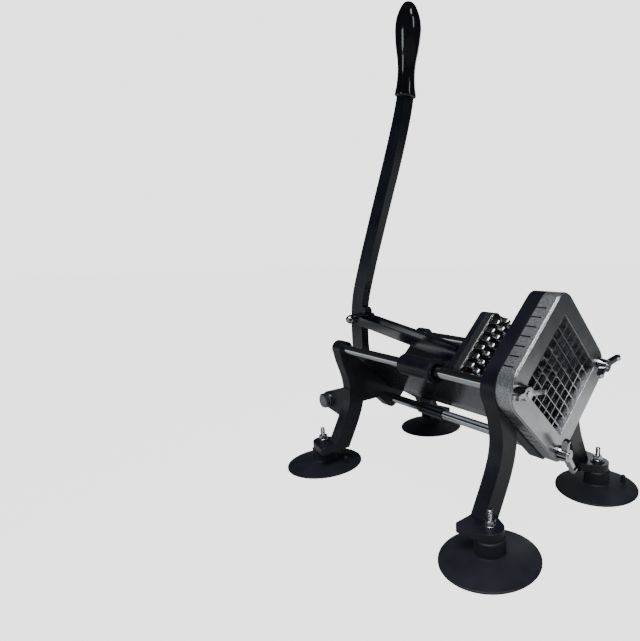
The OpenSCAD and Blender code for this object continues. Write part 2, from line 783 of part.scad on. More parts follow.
// Bolt through both link bars: hexagon head on the right, thread on the left
nut_gap = 0.1;
module link_bolt(p, tail) {
    translate([p[0], 0, p[1]]) {
        rod_y_axis(-bar_out - tail, bar_out + nut_gap, link_bolt_d / 2);
        hex_y(bar_out + nut_gap, bar_out + nut_gap + link_head_t, link_af);
    }
}
module link_rear_bolt() color("#c3c6ca") link_bolt(link_rear, 6);
module link_front_bolt() color("#c3c6ca") link_bolt(link_front, link_head_t + 0.5);

// Domed nut on the rear bolt
dome_r = link_af / 2 - 0.4;
module link_rear_nut() color("#dfe1e4") translate([link_rear[0], 0, link_rear[1]]) difference() {
    union() {
        hex_y(-bar_out - link_head_t, -bar_out - nut_gap, link_af);
        translate([0, -bar_out - link_head_t, 0]) sphere(r = dome_r);
    }
    rod_y_axis(-bar_out - 6.5, -bar_out, link_bolt_d / 2 + run_gap);
    rod_y_axis(-bar_out, span / 4, link_af);
}

module link_front_nut() color("#c3c6ca") translate([link_front[0], 0, link_front[1]]) difference() {
    hex_y(-bar_out - link_head_t, -bar_out - nut_gap, link_af);
    rod_y_axis(-bar_out - link_head_t - 1, -bar_out, link_bolt_d / 2 + run_gap);
}

module washer_pair(p, inner, outer) {
    translate([p[0], 0, p[1]]) for (s = [0, 1]) mirror([0, s, 0]) difference() {
        rod_y_axis(inner, outer, link_bolt_d);
        rod_y_axis(inner - 1, outer + 1, link_bolt_d / 2 + run_gap);
    }
}
module link_rear_washers() color("#c3c6ca") washer_pair(link_rear, lever_t / 2 + seat_gap, bar_in);
module link_front_washers() color("#c3c6ca")
    washer_pair(link_front, lug_plate_t / 2 + seat_gap, bar_in);

// ---------- lever ----------

hub_half = ear_in - seat_gap - washer_t;
stop_ahead = 5;                           // the stop boss's axis, ahead of the pivot
module handle_lever() color("#232428") {
    difference() {
        union() {
            translate([pivot_x, 0, pivot_z]) along_y(-lever_t / 2, lever_t)
                polygon(band(lever_line, lever_half));
            translate([pivot_x, 0, pivot_z]) rod_y_axis(-hub_half, hub_half, hub_r);
            translate([pivot_x + stop_ahead, 0, pivot_z + stop_up])
                rod_y_axis(-lever_t / 2, lever_t / 2, stop_r);
        }
        translate([pivot_x, 0, pivot_z]) rod_y_axis(-span / 2, span / 2, pivot_d / 2 + run_gap);
        translate([link_rear[0], 0, link_rear[1]])
            rod_y_axis(-lever_t, lever_t, link_bolt_d / 2 + run_gap);
        grip_place() translate([0, 0, -stud_in_lever]) cylinder(h = span / 4, d = grip_stud_d + 2 * run_gap);
        grip_place() translate([-span / 8, -span / 8, 0]) cube(span / 4);
    }
}

stud_in_lever = 16;
stud_in_grip = 40;
module grip_place() {
    translate([pivot_x + lever_top[0], 0, pivot_z + lever_top[1] - 1]) rotate([0, grip_lean, 0])
        children();
}

// Grip outline as [height, radius], from the collar to the crown
grip_low = [[0, 0.898], [0.015, 1], [0.046, 0.984], [0.122, 0.875], [0.264, 0.805], [0.386, 0.875]];
grip_high = [[0.5, 0.874], [0.629, 0.98], [0.721, 1], [0.802, 0.94], [0.873, 0.795],
    [0.934, 0.603], [0.978, 0.364], [1, 0.001]];
grip_line = smooth(concat([for (p = grip_low) [p[0] * grip_l, p[1] * collar_r]],
    [for (p = grip_high) [p[0] * grip_l, p[1] * grip_r]]), 3);

module handle_grip() color("#17181b") grip_place() difference() {
    rotate_extrude() polygon(concat([[0, 0]], [for (p = grip_line) [p[1], p[0]]], [[0, grip_l]]));
    translate([0, 0, -1]) cylinder(h = stud_in_grip + 1.3, d = grip_stud_d + 2 * run_gap);
}

module grip_stud() color("#9fa3a8") grip_place()
    translate([0, 0, -stud_in_lever + 0.3]) cylinder(h = stud_in_lever + stud_in_grip - 0.3, d = grip_stud_d);

// ---------- lever pivot ----------

module at_pivot() { translate([pivot_x, 0, pivot_z]) children(); }

module pivot_bolt() color("#b9bcc0") at_pivot() {
    rod_y_axis(-ear_out - washer_t, ear_out + washer_t + pivot_head_t + 4, pivot_d / 2);
    hex_y(-ear_out - washer_t - pivot_head_t, -ear_out - washer_t, pivot_af);
}

module pivot_nut() color("#b9bcc0") at_pivot() difference() {
    hex_y(ear_out + washer_t, ear_out + washer_t + pivot_head_t + 2, pivot_af);
    rod_y_axis(ear_out, ear_out + span / 4, pivot_d / 2 + run_gap);
}

// Outer washers under the bolt head and nut, inner washers between the hub and the lugs
module pivot_washers() color("#b9bcc0") at_pivot() for (s = [0, 1]) mirror([0, s, 0]) {
    for (y = [ear_out, ear_in - washer_t]) difference() {
        rod_y_axis(y, y + washer_t, pivot_af / 2 + 1);
        rod_y_axis(y - 1, y + washer_t + 1, pivot_d / 2 + bolt_gap);
    }
}

// ---------- feet ----------

// Half section of a suction cup as [radius, height]
module cup_section() {
    rim = cup_d / 2;
    neck = cup_neck_d / 2;
    polygon([[0, 3.6], [12, 3.4], [rim - cup_lip_w - 14, 2.2], [rim - cup_lip_w, 0], [rim, 0],
        [rim, cup_lip_t - 0.6], [rim - 1.2, cup_lip_t], [neck + 4, cup_disc_h - 0.5],
        [neck + 1, cup_disc_h], [neck, cup_disc_h + 1.4], [neck, lug_z - 1.2], [neck - 1.2, lug_z],
        [0, lug_z]]);
}

// A cup with its round-topped pull knob, by which it is peeled off the table
module suction_cup() {
    knob_z = cup_lip_t + 0.8;
    knob_up = cup_knob_h - cup_knob_d / 2;
    difference() {
        union() {
            rotate_extrude() cup_section();
            translate([cup_d / 2 - cup_knob_in, 0, 0]) {
                translate([0, 0, knob_z]) cylinder(h = knob_up - knob_z, d = cup_knob_d);
                translate([0, 0, knob_up]) sphere(d = cup_knob_d);
            }
        }
        translate([0, 0, stud_foot]) cylinder(h = span / 4, d = stud_d + 2 * run_gap);
    }
}

stud_foot = 8;
// turn is the direction that the cup's pull knob happens to face
module cup_at(fx, s, turn) color("#202124") translate([fx, s * feet_width / 2, 0]) rotate(turn)
    suction_cup();
module suction_cup_front_left() cup_at(front_x, -1, 135);
module suction_cup_front_right() cup_at(front_x, 1, 48);
module suction_cup_rear_left() cup_at(rear_x, -1, 27);
module suction_cup_rear_right() cup_at(rear_x, 1, 135);

module foot_studs() color("#c3c6ca") at_feet()
    translate([0, 0, stud_foot + 0.1]) cylinder(h = stud_top - stud_foot, d = stud_d);

module foot_washers() color("#c3c6ca") at_feet() difference() {
    translate([0, 0, lug_top]) cylinder(h = washer_t, r = foot_nut_af / 2 + 1.2);
    translate([0, 0, lug_top - 1]) cylinder(h = washer_t + 2, d = stud_d + 2 * bolt_gap);
}

module foot_nuts() color("#c3c6ca") at_feet() difference() {
    translate([0, 0, lug_top + washer_t]) rotate(12) cylinder(h = foot_nut_t, d = foot_nut_af / cos(30), $fn = 6);
    translate([0, 0, lug_top]) cylinder(h = span / 8, d = stud_d + 2 * run_gap);
}

// ---------- what is drawn ----------

front_frame();
rear_frame();
guide_rod_left();
guide_rod_right();
lower_tie_rod();
rod_end_screws();
rod_end_washers();
potato_tray();
tray_clip();
blade_frame();
blades_rising();
blades_falling();
wing_nut_left();
wing_nut_right();
wing_nut_lower();
wing_nut_washers();
carriage();
pusher_block();
pin_plate();
pusher_pins();
block_screws();
bush_left();
bush_right();
link_bar_left();
link_bar_right();
link_rear_bolt();
link_rear_nut();
link_rear_washers();
link_front_bolt();
link_front_nut();
link_front_washers();
handle_lever();
handle_grip();
grip_stud();
pivot_bolt();
pivot_nut();
pivot_washers();
suction_cup_front_left();
suction_cup_front_right();
suction_cup_rear_left();
suction_cup_rear_right();
foot_studs();
foot_nuts();
foot_washers();
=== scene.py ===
# %% [markdown]
# # A lever-operated french fry cutter
# The machine stands on four suction cups. Two black castings hold two polished guide
# rods and a lower tie rod. A pusher with rows of blunt pins slides on the rods, driven by
# a tall curved lever and two link bars, and presses a potato through a square grid of
# blades. The exact solids come in with one call, in metres. This script dresses them:
# it softens their edges, adds threads, pins and ground blades, and gives each piece the
# finish of its real material.

# %% Load the exact solids
import json
import math

import bmesh
import bpy
from mathutils import Matrix, Vector

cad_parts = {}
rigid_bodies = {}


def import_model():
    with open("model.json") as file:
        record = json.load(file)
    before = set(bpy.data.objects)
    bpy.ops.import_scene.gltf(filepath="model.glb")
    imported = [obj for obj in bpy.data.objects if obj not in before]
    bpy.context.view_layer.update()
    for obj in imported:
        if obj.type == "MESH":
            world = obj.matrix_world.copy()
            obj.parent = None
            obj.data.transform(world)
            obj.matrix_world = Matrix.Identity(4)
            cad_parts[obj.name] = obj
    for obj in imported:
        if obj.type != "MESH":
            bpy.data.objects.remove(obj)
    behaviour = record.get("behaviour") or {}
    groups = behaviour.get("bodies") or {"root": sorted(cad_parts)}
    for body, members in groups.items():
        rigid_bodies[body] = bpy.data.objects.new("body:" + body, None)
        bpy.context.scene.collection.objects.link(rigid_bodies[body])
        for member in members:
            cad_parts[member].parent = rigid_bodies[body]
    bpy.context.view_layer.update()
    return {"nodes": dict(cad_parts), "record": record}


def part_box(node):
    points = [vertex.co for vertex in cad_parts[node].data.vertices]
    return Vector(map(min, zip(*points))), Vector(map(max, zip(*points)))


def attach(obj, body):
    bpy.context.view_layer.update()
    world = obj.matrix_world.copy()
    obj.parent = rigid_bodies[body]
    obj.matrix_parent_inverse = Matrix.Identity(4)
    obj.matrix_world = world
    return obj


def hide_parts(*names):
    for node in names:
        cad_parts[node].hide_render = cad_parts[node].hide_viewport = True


for leftover in list(bpy.data.objects):
    bpy.data.objects.remove(leftover)
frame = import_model()
MM = 0.001
bodies = frame["record"]["behaviour"]["bodies"]
BODY_OF = {cad_name: body for body, cad_names in bodies.items() for cad_name in cad_names}

# %% [markdown]
# ## Camera
# A short lens close to the machine gives a strong perspective: the near cup looks almost
# twice as wide as the far one. A Track To constraint could aim the camera, but it knows no
# roll and no shift. So the camera's three directions are worked out from heading, tilt
# and roll, and the shift moves the machine to the right.

# %% Place the camera
ACROSS, DOWN = 640, 641                                # size of the render, in pixels
FOCAL_PX, MIDDLE_X, MIDDLE_Y = 475.0, 455.7, 361.9
HEADING, TILT, ROLL = (math.radians(a) for a in (135.49, 13.05, -0.74))
EYE, SENSOR_MM = (0.424578, -0.4031, 0.2871), 36


def add(name, data):
    """Makes an object for the data and puts it in the scene."""
    thing = bpy.data.objects.new(name, data)
    bpy.context.collection.objects.link(thing)
    return thing


def build_camera():
    ahead = Vector((math.cos(TILT) * math.cos(HEADING), math.cos(TILT) * math.sin(HEADING), -math.sin(TILT)))
    right = ahead.cross(Vector((0, 0, 1))).normalized()
    up = right.cross(ahead)
    c, s = math.cos(ROLL), math.sin(ROLL)
    right, up = c * right + s * up, c * up - s * right
    data = bpy.data.cameras.new("product_camera")
    data.sensor_fit, data.sensor_width = "HORIZONTAL", SENSOR_MM
    data.lens = FOCAL_PX / ACROSS * SENSOR_MM
    data.shift_x = (ACROSS / 2 - MIDDLE_X) / ACROSS
    data.shift_y = (MIDDLE_Y - DOWN / 2) / ACROSS
    data.clip_start = 0.01
    place = Matrix((right, up, -ahead)).transposed().to_4x4()
    place.translation = Vector(EYE)
    camera = add("product_camera", data)
    camera.matrix_world = place
    bpy.context.scene.camera = camera
    return camera


print("lens %.1f mm" % build_camera().data.lens)

# %% [markdown]
# ## Node trees in few words
# Floor, sky and every finish are node trees, and building them by hand repeats the same
# few moves: add a node, map one range on another, do a sum, start a material. These
# helpers say each move once.

# %% Helpers for node trees
def node(tree, kind, **values):
    """Adds a node. Each value goes to the input of that name, or else to the setting."""
    made = tree.nodes.new(kind)
    for name, value in values.items():
        if name in made.inputs:
            made.inputs[name].default_value = value
        else:
            setattr(made, name, value)
    return made


def ramp(tree, source, low, high, a, b):
    """Goes from a to b while the source goes from low to high."""
    made = node(tree, "ShaderNodeMapRange")
    for name, value in zip(("From Min", "From Max", "To Min", "To Max"), (low, high, a, b)):
        made.inputs[name].default_value = value
    tree.links.new(source, made.inputs["Value"])
    return made.outputs["Result"]


def calc(tree, operation, *terms):
    """A sum on numbers and sockets."""
    made = node(tree, "ShaderNodeMath", operation=operation)
    for socket, term in zip(made.inputs, terms):
        if isinstance(term, (int, float)):
            socket.default_value = term
        else:
            tree.links.new(term, socket)
    return made.outputs[0]


def finish(name, metallic=0.0, coat=0.0, coat_roughness=0.1, specular=0.5):
    made = bpy.data.materials.new(name)
    made.use_nodes = True
    shader = made.node_tree.nodes["Principled BSDF"]
    shader.inputs["Metallic"].default_value = metallic
    shader.inputs["Coat Weight"].default_value = coat
    shader.inputs["Coat Roughness"].default_value = coat_roughness
    shader.inputs["Specular IOR Level"].default_value = specular
    return made, made.node_tree, shader


# %% [markdown]
# ## Floor and light
# Polished metal shows its surroundings more than itself, so the studio is part of every
# finish. The camera has to see white all round, yet in a white room every chrome rod and
# every coat of enamel would turn pale. So floor and sky ask which kind of ray meets them.
# They are white to the camera, and nearly dark to whatever mirrors them. One part of the
# floor glows for mirrors too: a ring round the machine, set off to its left and rear. Each
# rod then shows one bright band between dark ones, instead of being white all over.

# %% A disc for the floor
WHITE = (1, 1, 1, 1)
SEEN_WHITE = 2.6                                       # strength that the camera takes for white
FLOOR_R, FLOOR_DROP, FLOOR_TONE, FLOOR_ROUGH = 9.0, 0.4 * MM, 0.14, 0.8


def mesh_from(bm, name):
    """Turns a mesh in the making into a mesh and frees it."""
    mesh = bpy.data.meshes.new(name)
    bm.to_mesh(mesh)
    bm.free()
    return mesh


def flat_disc(name, radius, z):
    bm = bmesh.new()
    bmesh.ops.create_circle(bm, cap_ends=True, segments=96, radius=radius)
    bmesh.ops.translate(bm, verts=bm.verts, vec=(0, 0, z))
    return add(name, mesh_from(bm, name))


floor = flat_disc("studio_floor", FLOOR_R, -FLOOR_DROP)
print("floor %.1f mm below the cups" % (FLOOR_DROP / MM))

# %% A ring of light on the floor
RING_MIDDLE = (-0.20, -0.22, 0)
RING_START, RING_NEAR, RING_FAR, RING_END = 0.4356, 0.66, 0.95, 1.0
UNDER_GLOW, RING_GLOW, AWAY_GLOW = 0.13, 0.62, 0.02    # under the machine, in the ring, beyond it


def ring_of_light(tree):
    """How strongly the floor glows, from the distance to the ring's middle."""
    spot = node(tree, "ShaderNodeVectorMath", operation="DISTANCE")
    spot.inputs[1].default_value = RING_MIDDLE
    tree.links.new(node(tree, "ShaderNodeTexCoord").outputs["Object"], spot.inputs[0])
    ring = node(tree, "ShaderNodeValToRGB")
    stops = ring.color_ramp.elements
    stops[0].position, stops[1].position = RING_START, RING_NEAR
    for place in (RING_FAR, RING_END):
        stops.new(place)
    for stop, level in zip(stops, (UNDER_GLOW, RING_GLOW, RING_GLOW, AWAY_GLOW)):
        stop.color = (level, level, level, 1)
    tree.links.new(spot.outputs["Value"], ring.inputs[0])
    return ring.outputs["Color"]


def pale_floor():
    made, tree, shader = finish("pale_floor", specular=0.1)
    shader.inputs["Base Color"].default_value = (FLOOR_TONE, FLOOR_TONE, FLOOR_TONE, 1)
    shader.inputs["Roughness"].default_value = FLOOR_ROUGH
    shader.inputs["Emission Color"].default_value = WHITE
    glow = node(tree, "ShaderNodeMix")
    glow.inputs[3].default_value = SEEN_WHITE - 0.15   # the lamps add the rest
    tree.links.new(node(tree, "ShaderNodeLightPath").outputs["Is Camera Ray"], glow.inputs[0])
    tree.links.new(ring_of_light(tree), glow.inputs[2])
    tree.links.new(glow.outputs[0], shader.inputs["Emission Strength"])
    return made


floor.data.materials.append(pale_floor())
print("ring of light from %.2f to %.2f m" % (RING_NEAR, RING_FAR))

# %% [markdown]
# The sky is a stack of three lights. Mirrors get a dim one that fades upwards, matt
# surfaces a soft bluish one, and the camera the white one. An image of a studio could
# light the machine as well, but a few numbers are easier to tune than a picture.

# %% Sky
SKY_TINT, SKY_TOP = (0.82, 0.90, 1.0, 1), 0.8


def build_sky(seen, matt, low, high):
    """seen by the camera, matt for dull surfaces, low and high for what mirrors."""
    world = bpy.data.worlds.new("studio_sky")
    bpy.context.scene.world = world
    world.use_nodes = True
    tree = world.node_tree
    tree.nodes.clear()
    link = tree.links.new
    path = node(tree, "ShaderNodeLightPath")
    split = node(tree, "ShaderNodeSeparateXYZ")
    link(node(tree, "ShaderNodeTexCoord").outputs["Generated"], split.inputs[0])
    layer = node(tree, "ShaderNodeBackground", Color=SKY_TINT)
    link(ramp(tree, split.outputs["Z"], 0, SKY_TOP, low, high), layer.inputs["Strength"])
    for ray, tint, strength in (("Is Diffuse Ray", SKY_TINT, matt), ("Is Camera Ray", WHITE, seen)):
        light = node(tree, "ShaderNodeBackground", Color=tint, Strength=strength)
        mix = node(tree, "ShaderNodeMixShader")
        link(path.outputs[ray], mix.inputs[0])
        link(layer.outputs[0], mix.inputs[1])
        link(light.outputs[0], mix.inputs[2])
        layer = mix
    link(layer.outputs[0], node(tree, "ShaderNodeOutputWorld").inputs["Surface"])
    return world


print(build_sky(seen=SEEN_WHITE, matt=0.6, low=0.035, high=0.014).name, "made")

# %% [markdown]
# Six lamps do the rest, each a panel, because a panel's reflection has a size and a
# place. A square softbox hangs over the near side with its beam narrowed to the machine,
# and a small warm bulb beside it. Windows stand ahead, on the left and behind on the
# right, and a long low one behind on the left lifts the sides that face it. Point lamps
# would light as well, but chrome and gloss would show them as mere dots.

# %% Lamps
COOL, WARM, DAYLIGHT = (0.93, 0.97, 1.0), (1.0, 0.84, 0.66), (0.84, 0.92, 1.0)


def lamp(name, place, target, size, power, tint):
    data = bpy.data.lights.new(name, "AREA")
    data.shape = "RECTANGLE"
    data.size, data.size_y = size
    data.energy = power
    data.color = tint
    light = add(name, data)
    light.location = place
    light.rotation_euler = (Vector(target) - Vector(place)).to_track_quat("-Z", "Y").to_euler()
    return light


overhead = lamp("overhead_softbox", (0.35, -0.45, 1.3), (0.08, -0.03, 0.0), (0.9, 0.9), 2.4, COOL)
overhead.data.spread = math.radians(48)                # narrows the beam to the machine
lamp("ceiling_bulb", (0.60, -0.06, 1.3), (0.0, 0.0, 0.2), (0.2, 0.2), 0.8, WARM)
lamp("front_window", (1.18, 0.18, 1.05), (0.1, -0.02, 0.3), (0.13, 0.6), 1.1, COOL)
lamp("left_window", (0.03, -1.6, 0.62), (-0.05, 0.0, 0.4), (0.36, 0.5), 2.3, DAYLIGHT)
lamp("low_window", (-1.0, -1.0, 0.12), (-0.05, 0.0, 0.2), (0.8, 0.2), 0.32, DAYLIGHT)
lamp("rear_window", (-0.55, 1.4, 0.7), (-0.05, 0.05, 0.1), (0.5, 0.6), 1.4, COOL)

# %% [markdown]
# ## Effects that finishes share
# Each finish is a small node tree in Object coordinates, so that a pattern stays on its
# piece when the piece moves. Four effects are shared, each a node group with its own
# inputs. Grain is the fine unevenness of a cast or moulded skin. Brushing is scratches
# that run one way. Rubbed edges find the places where a rounded normal parts from the
# flat one. Hollow shade finds the narrow places that little light reaches, such as slots,
# and the finishes paint shade into the colour there.

# %% Make and place a group
def group(name, inputs, outputs):
    tree = bpy.data.node_groups.new(name, "ShaderNodeTree")
    for label, kind, value in inputs:
        socket = tree.interface.new_socket(label, in_out="INPUT", socket_type="NodeSocket" + kind)
        socket.default_value = value
    for label in outputs:
        tree.interface.new_socket(label, in_out="OUTPUT", socket_type="NodeSocketFloat")
    return tree, tree.nodes.new("NodeGroupInput"), tree.nodes.new("NodeGroupOutput")


def use(tree, shared, **values):
    """Places a group in a material. An underscore stands for the space in an input's name."""
    made = node(tree, "ShaderNodeGroup", node_tree=shared)
    for name, value in values.items():
        made.inputs[name.replace("_", " ")].default_value = value
    return made


# %% Grain of a cast or moulded skin
FINE_SHARE = 0.6


def build_grain():
    tree, given, out = group(
        "cast_grain", [("Scale", "Float", 900.0), ("Patch Scale", "Float", 35.0)], ["Patches", "Height"])
    link = tree.links.new
    where = node(tree, "ShaderNodeTexCoord")
    fine = node(tree, "ShaderNodeTexNoise", Detail=3.0, Roughness=0.6)
    wide = node(tree, "ShaderNodeTexNoise", Detail=4.0, Roughness=0.55)
    specks = node(tree, "ShaderNodeTexVoronoi")
    for texture, scale in ((fine, "Scale"), (wide, "Patch Scale"), (specks, "Scale")):
        link(where.outputs["Object"], texture.inputs["Vector"])
        link(given.outputs[scale], texture.inputs["Scale"])
    height = calc(tree, "MULTIPLY_ADD", fine.outputs["Fac"], FINE_SHARE, specks.outputs["Distance"])
    link(wide.outputs["Fac"], out.inputs["Patches"])
    link(height, out.inputs["Height"])
    return tree


GRAIN = build_grain()
print("shared effect:", GRAIN.name)


# %% Brushing along one direction
def build_brushing():
    tree, given, out = group("brushing", [("Stretch", "Vector", (20.0, 900.0, 900.0))], ["Streaks", "Height"])
    link = tree.links.new
    scale = node(tree, "ShaderNodeVectorMath", operation="MULTIPLY")
    link(node(tree, "ShaderNodeTexCoord").outputs["Object"], scale.inputs[0])
    link(given.outputs["Stretch"], scale.inputs[1])
    lines = node(tree, "ShaderNodeTexNoise", Scale=1.0, Detail=4.0, Roughness=0.65)
    broad = node(tree, "ShaderNodeTexNoise", Scale=0.12, Detail=2.0)
    link(scale.outputs[0], lines.inputs["Vector"])
    link(scale.outputs[0], broad.inputs["Vector"])
    half = calc(tree, "MULTIPLY", lines.outputs["Fac"], 0.5)
    link(calc(tree, "MULTIPLY_ADD", broad.outputs["Fac"], 0.5, half), out.inputs["Streaks"])
    link(lines.outputs["Fac"], out.inputs["Height"])
    return tree


BRUSHING = build_brushing()
print("shared effect:", BRUSHING.name)


# %% Rubbed edges
def build_edges():
    tree, given, out = group(
        "rubbed_edges", [("Radius", "Float", 0.001), ("Break Up", "Float", 160.0)], ["Edge"])
    link = tree.links.new
    soft = node(tree, "ShaderNodeBevel", samples=4)
    link(given.outputs["Radius"], soft.inputs["Radius"])
    dot = node(tree, "ShaderNodeVectorMath", operation="DOT_PRODUCT")
    link(soft.outputs[0], dot.inputs[0])
    link(node(tree, "ShaderNodeNewGeometry").outputs["Normal"], dot.inputs[1])
    noise = node(tree, "ShaderNodeTexNoise", Detail=3.0)
    link(node(tree, "ShaderNodeTexCoord").outputs["Object"], noise.inputs["Vector"])
    link(given.outputs["Break Up"], noise.inputs["Scale"])
    edge = ramp(tree, dot.outputs["Value"], 0.985, 0.86, 0, 1)
    broken = ramp(tree, noise.outputs["Fac"], 0.35, 0.6, 0, 1)
    link(calc(tree, "MULTIPLY", edge, broken), out.inputs["Edge"])
    return tree


EDGES = build_edges()
print("shared effect:", EDGES.name)


# %% Painted shade in hollows
def build_hollow_shade():
    tree, given, out = group("painted_hollow_shade", [("Reach", "Float", 0.004)], ["Hollow"])
    # Ambient occlusion: where it is low, the finishes darken their colour, which is painted shade.
    open_sky = node(tree, "ShaderNodeAmbientOcclusion", samples=6, only_local=False)
    tree.links.new(given.outputs["Reach"], open_sky.inputs["Distance"])
    tree.links.new(ramp(tree, open_sky.outputs["AO"], 0.75, 0.25, 0, 1), out.inputs["Hollow"])
    return tree


HOLLOW_SHADE = build_hollow_shade()
print("shared effect:", HOLLOW_SHADE.name)

# %% [markdown]
# ## Mixing colours
# Nearly every finish does the same three things: it wavers between two tones in soft
# patches, it lets another colour in where a mask says so, and it has a little relief.

# %% Patches, tints and relief
def blend(tree, mask, a, b):
    made = node(tree, "ShaderNodeMix", data_type="RGBA")
    for socket, value in ((made.inputs[6], a), (made.inputs[7], b)):
        if isinstance(value, tuple):
            socket.default_value = (*value, 1)
        else:
            tree.links.new(value, socket)
    tree.links.new(mask, made.inputs[0])
    return made.outputs[2]


def patchy(tree, mask, a, b, low=0.35, high=0.65):
    """Wavers between two tones. The closer low and high are, the harder the patches."""
    return blend(tree, ramp(tree, mask, low, high, 0, 1), a, b)


def tinted(tree, tone, mask, share, other):
    """Lets a share of another colour in where the mask is 1."""
    return blend(tree, ramp(tree, mask, 0, 1, 0, share), tone, other)


def bump(tree, shader, height, distance, strength):
    made = node(tree, "ShaderNodeBump", Distance=distance, Strength=strength)
    tree.links.new(height, made.inputs["Height"])
    tree.links.new(made.outputs[0], shader.inputs["Normal"])


# %% [markdown]
# ## Black enamel
# The castings, the carriage and the lever wear black enamel over a sand-cast skin. The
# paint is semi-gloss and never quite even, and it thins and greys on the edges. The link
# bars are flat stock with a glossier coat. A plain black material would lose every form
# of the castings, so tone, gloss and relief all waver with the grain.

# %% Enamel on castings, lever and bars
WORN_PAINT, PATCH_GAIN = (0.085, 0.09, 0.105), 1.7


def black_enamel(name, tone, rough, coat, grain, rub, spread=0.07, specular=0.5, skin_mm=0.02):
    made, tree, shader = finish(name, coat=coat, coat_roughness=0.14, specular=specular)
    skin = use(tree, GRAIN, Scale=grain, Patch_Scale=28.0)
    edge = use(tree, EDGES, Radius=1.2 * MM)
    pale = tuple(v * PATCH_GAIN for v in tone)
    paint = patchy(tree, skin.outputs["Patches"], tone, pale)
    paint = tinted(tree, paint, edge.outputs["Edge"], rub, WORN_PAINT)
    tree.links.new(paint, shader.inputs["Base Color"])
    gloss = ramp(tree, skin.outputs["Patches"], 0.3, 0.7, rough - spread, rough + spread)
    tree.links.new(gloss, shader.inputs["Roughness"])
    bump(tree, shader, skin.outputs["Height"], skin_mm * MM, 0.5)
    return made


CASTING_BLACK = black_enamel("black_enamel_on_casting", (0.0052, 0.0058, 0.0092), rough=0.34, coat=0.25,
                             grain=1100.0, rub=0.2, specular=0.4)
LEVER_BLACK = black_enamel("black_enamel_on_lever", (0.0070, 0.0077, 0.0125), rough=0.26, coat=0.16,
                           grain=1500.0, rub=0.12, spread=0.05, specular=0.35, skin_mm=0.01)
BAR_BLACK = black_enamel("glossy_black_bars", (0.006, 0.007, 0.012), rough=0.11, coat=1.0,
                         grain=2200.0, rub=0.25, spread=0.03, specular=1.0, skin_mm=0.002)
print("paints:", CASTING_BLACK.name, LEVER_BLACK.name, BAR_BLACK.name)

# %% [markdown]
# ## Bare metals
# Bare metals differ in three ways only: how bright they are, how rough, and which way
# the tool marks run. One function takes those numbers. Rods and wing nuts are chrome,
# the tray is rolled sheet, and screws, nuts and washers are zinc plated. A stretch is how
# fine the marks are along x, y and z. The rods turned while they were ground, so their
# marks run round them, fine along the rod and coarse across it.

# %% Metals
# The second colour is the painted shade that hollows darken towards.
RUBBED_METAL, SHADE_TONE = (0.9, 0.9, 0.9), (0.02, 0.02, 0.023)
ROUND_BAR, SHEET = (5000.0, 60.0, 60.0), (6.0, 700.0, 700.0)
STRIP, SAWN = (900.0, 40.0, 40.0), (700.0, 18.0, 18.0)


def metal(name, bright, dull, rough, spread, stretch=None, grain=1400.0, skin_mm=0.02, rub=0.0, shade_share=0.0):
    made, tree, shader = finish(name, metallic=1.0)
    if stretch:
        lines = use(tree, BRUSHING, Stretch=stretch)
        mask, height = lines.outputs["Streaks"], lines.outputs["Height"]
    else:
        skin = use(tree, GRAIN, Scale=grain, Patch_Scale=45.0)
        mask, height = skin.outputs["Patches"], skin.outputs["Height"]
    tone = patchy(tree, mask, dull, bright)
    if rub:
        edge = use(tree, EDGES, Radius=0.6 * MM, Break_Up=90.0)
        tone = tinted(tree, tone, edge.outputs["Edge"], rub, RUBBED_METAL)
    # Painted shade: hollows darken towards a near black.
    if shade_share:
        hollow = use(tree, HOLLOW_SHADE, Reach=3 * MM)
        tone = tinted(tree, tone, hollow.outputs["Hollow"], shade_share, SHADE_TONE)
    tree.links.new(tone, shader.inputs["Base Color"])
    tree.links.new(ramp(tree, mask, 0.3, 0.7, rough - spread, rough + spread), shader.inputs["Roughness"])
    bump(tree, shader, height, skin_mm * MM, 0.6)
    return made


ROD_CHROME = metal("polished_rod", (0.82, 0.84, 0.87), (0.79, 0.81, 0.84), rough=0.09, spread=0.005,
                   stretch=ROUND_BAR, skin_mm=0.0002)
TRAY_STEEL = metal("rolled_tray_sheet", (0.54, 0.55, 0.60), (0.47, 0.48, 0.52), rough=0.17, spread=0.03,
                   stretch=SHEET, skin_mm=0.001)
BLADE_STEEL = metal("ground_blade_steel", (0.80, 0.81, 0.83), (0.62, 0.63, 0.66), rough=0.20, spread=0.06,
                    stretch=STRIP, skin_mm=0.006)
WING_CHROME = metal("cast_chrome", (0.74, 0.74, 0.75), (0.50, 0.50, 0.52), rough=0.08, spread=0.03,
                    grain=260.0, skin_mm=0.06)
CLIP_STEEL = metal("blued_clip_steel", (0.13, 0.135, 0.155), (0.07, 0.075, 0.09), rough=0.30, spread=0.06,
                   stretch=SHEET, skin_mm=0.002)
BLOCK_GREY = metal("grey_pusher_block", (0.36, 0.36, 0.37), (0.22, 0.22, 0.23), rough=0.36, spread=0.06,
                   stretch=SAWN, skin_mm=0.006, rub=0.4)
BRONZE = metal("bronze_bush", (0.56, 0.37, 0.17), (0.38, 0.24, 0.10), rough=0.30, spread=0.08)
# Screws, nuts and washers take painted shade in their hollows.
ZINC = metal("zinc_plate", (0.74, 0.75, 0.78), (0.50, 0.51, 0.54), rough=0.25, spread=0.07,
             grain=700.0, rub=0.3, shade_share=0.6)
BOLT_STEEL = metal("dull_bolt_steel", (0.46, 0.46, 0.455), (0.30, 0.30, 0.30), rough=0.34, spread=0.07,
                   grain=600.0, rub=0.3)
METALS = (ROD_CHROME, TRAY_STEEL, BLADE_STEEL, WING_CHROME, CLIP_STEEL, BLOCK_GREY, BRONZE, ZINC, BOLT_STEEL)
print("metals:", [made.name for made in METALS])
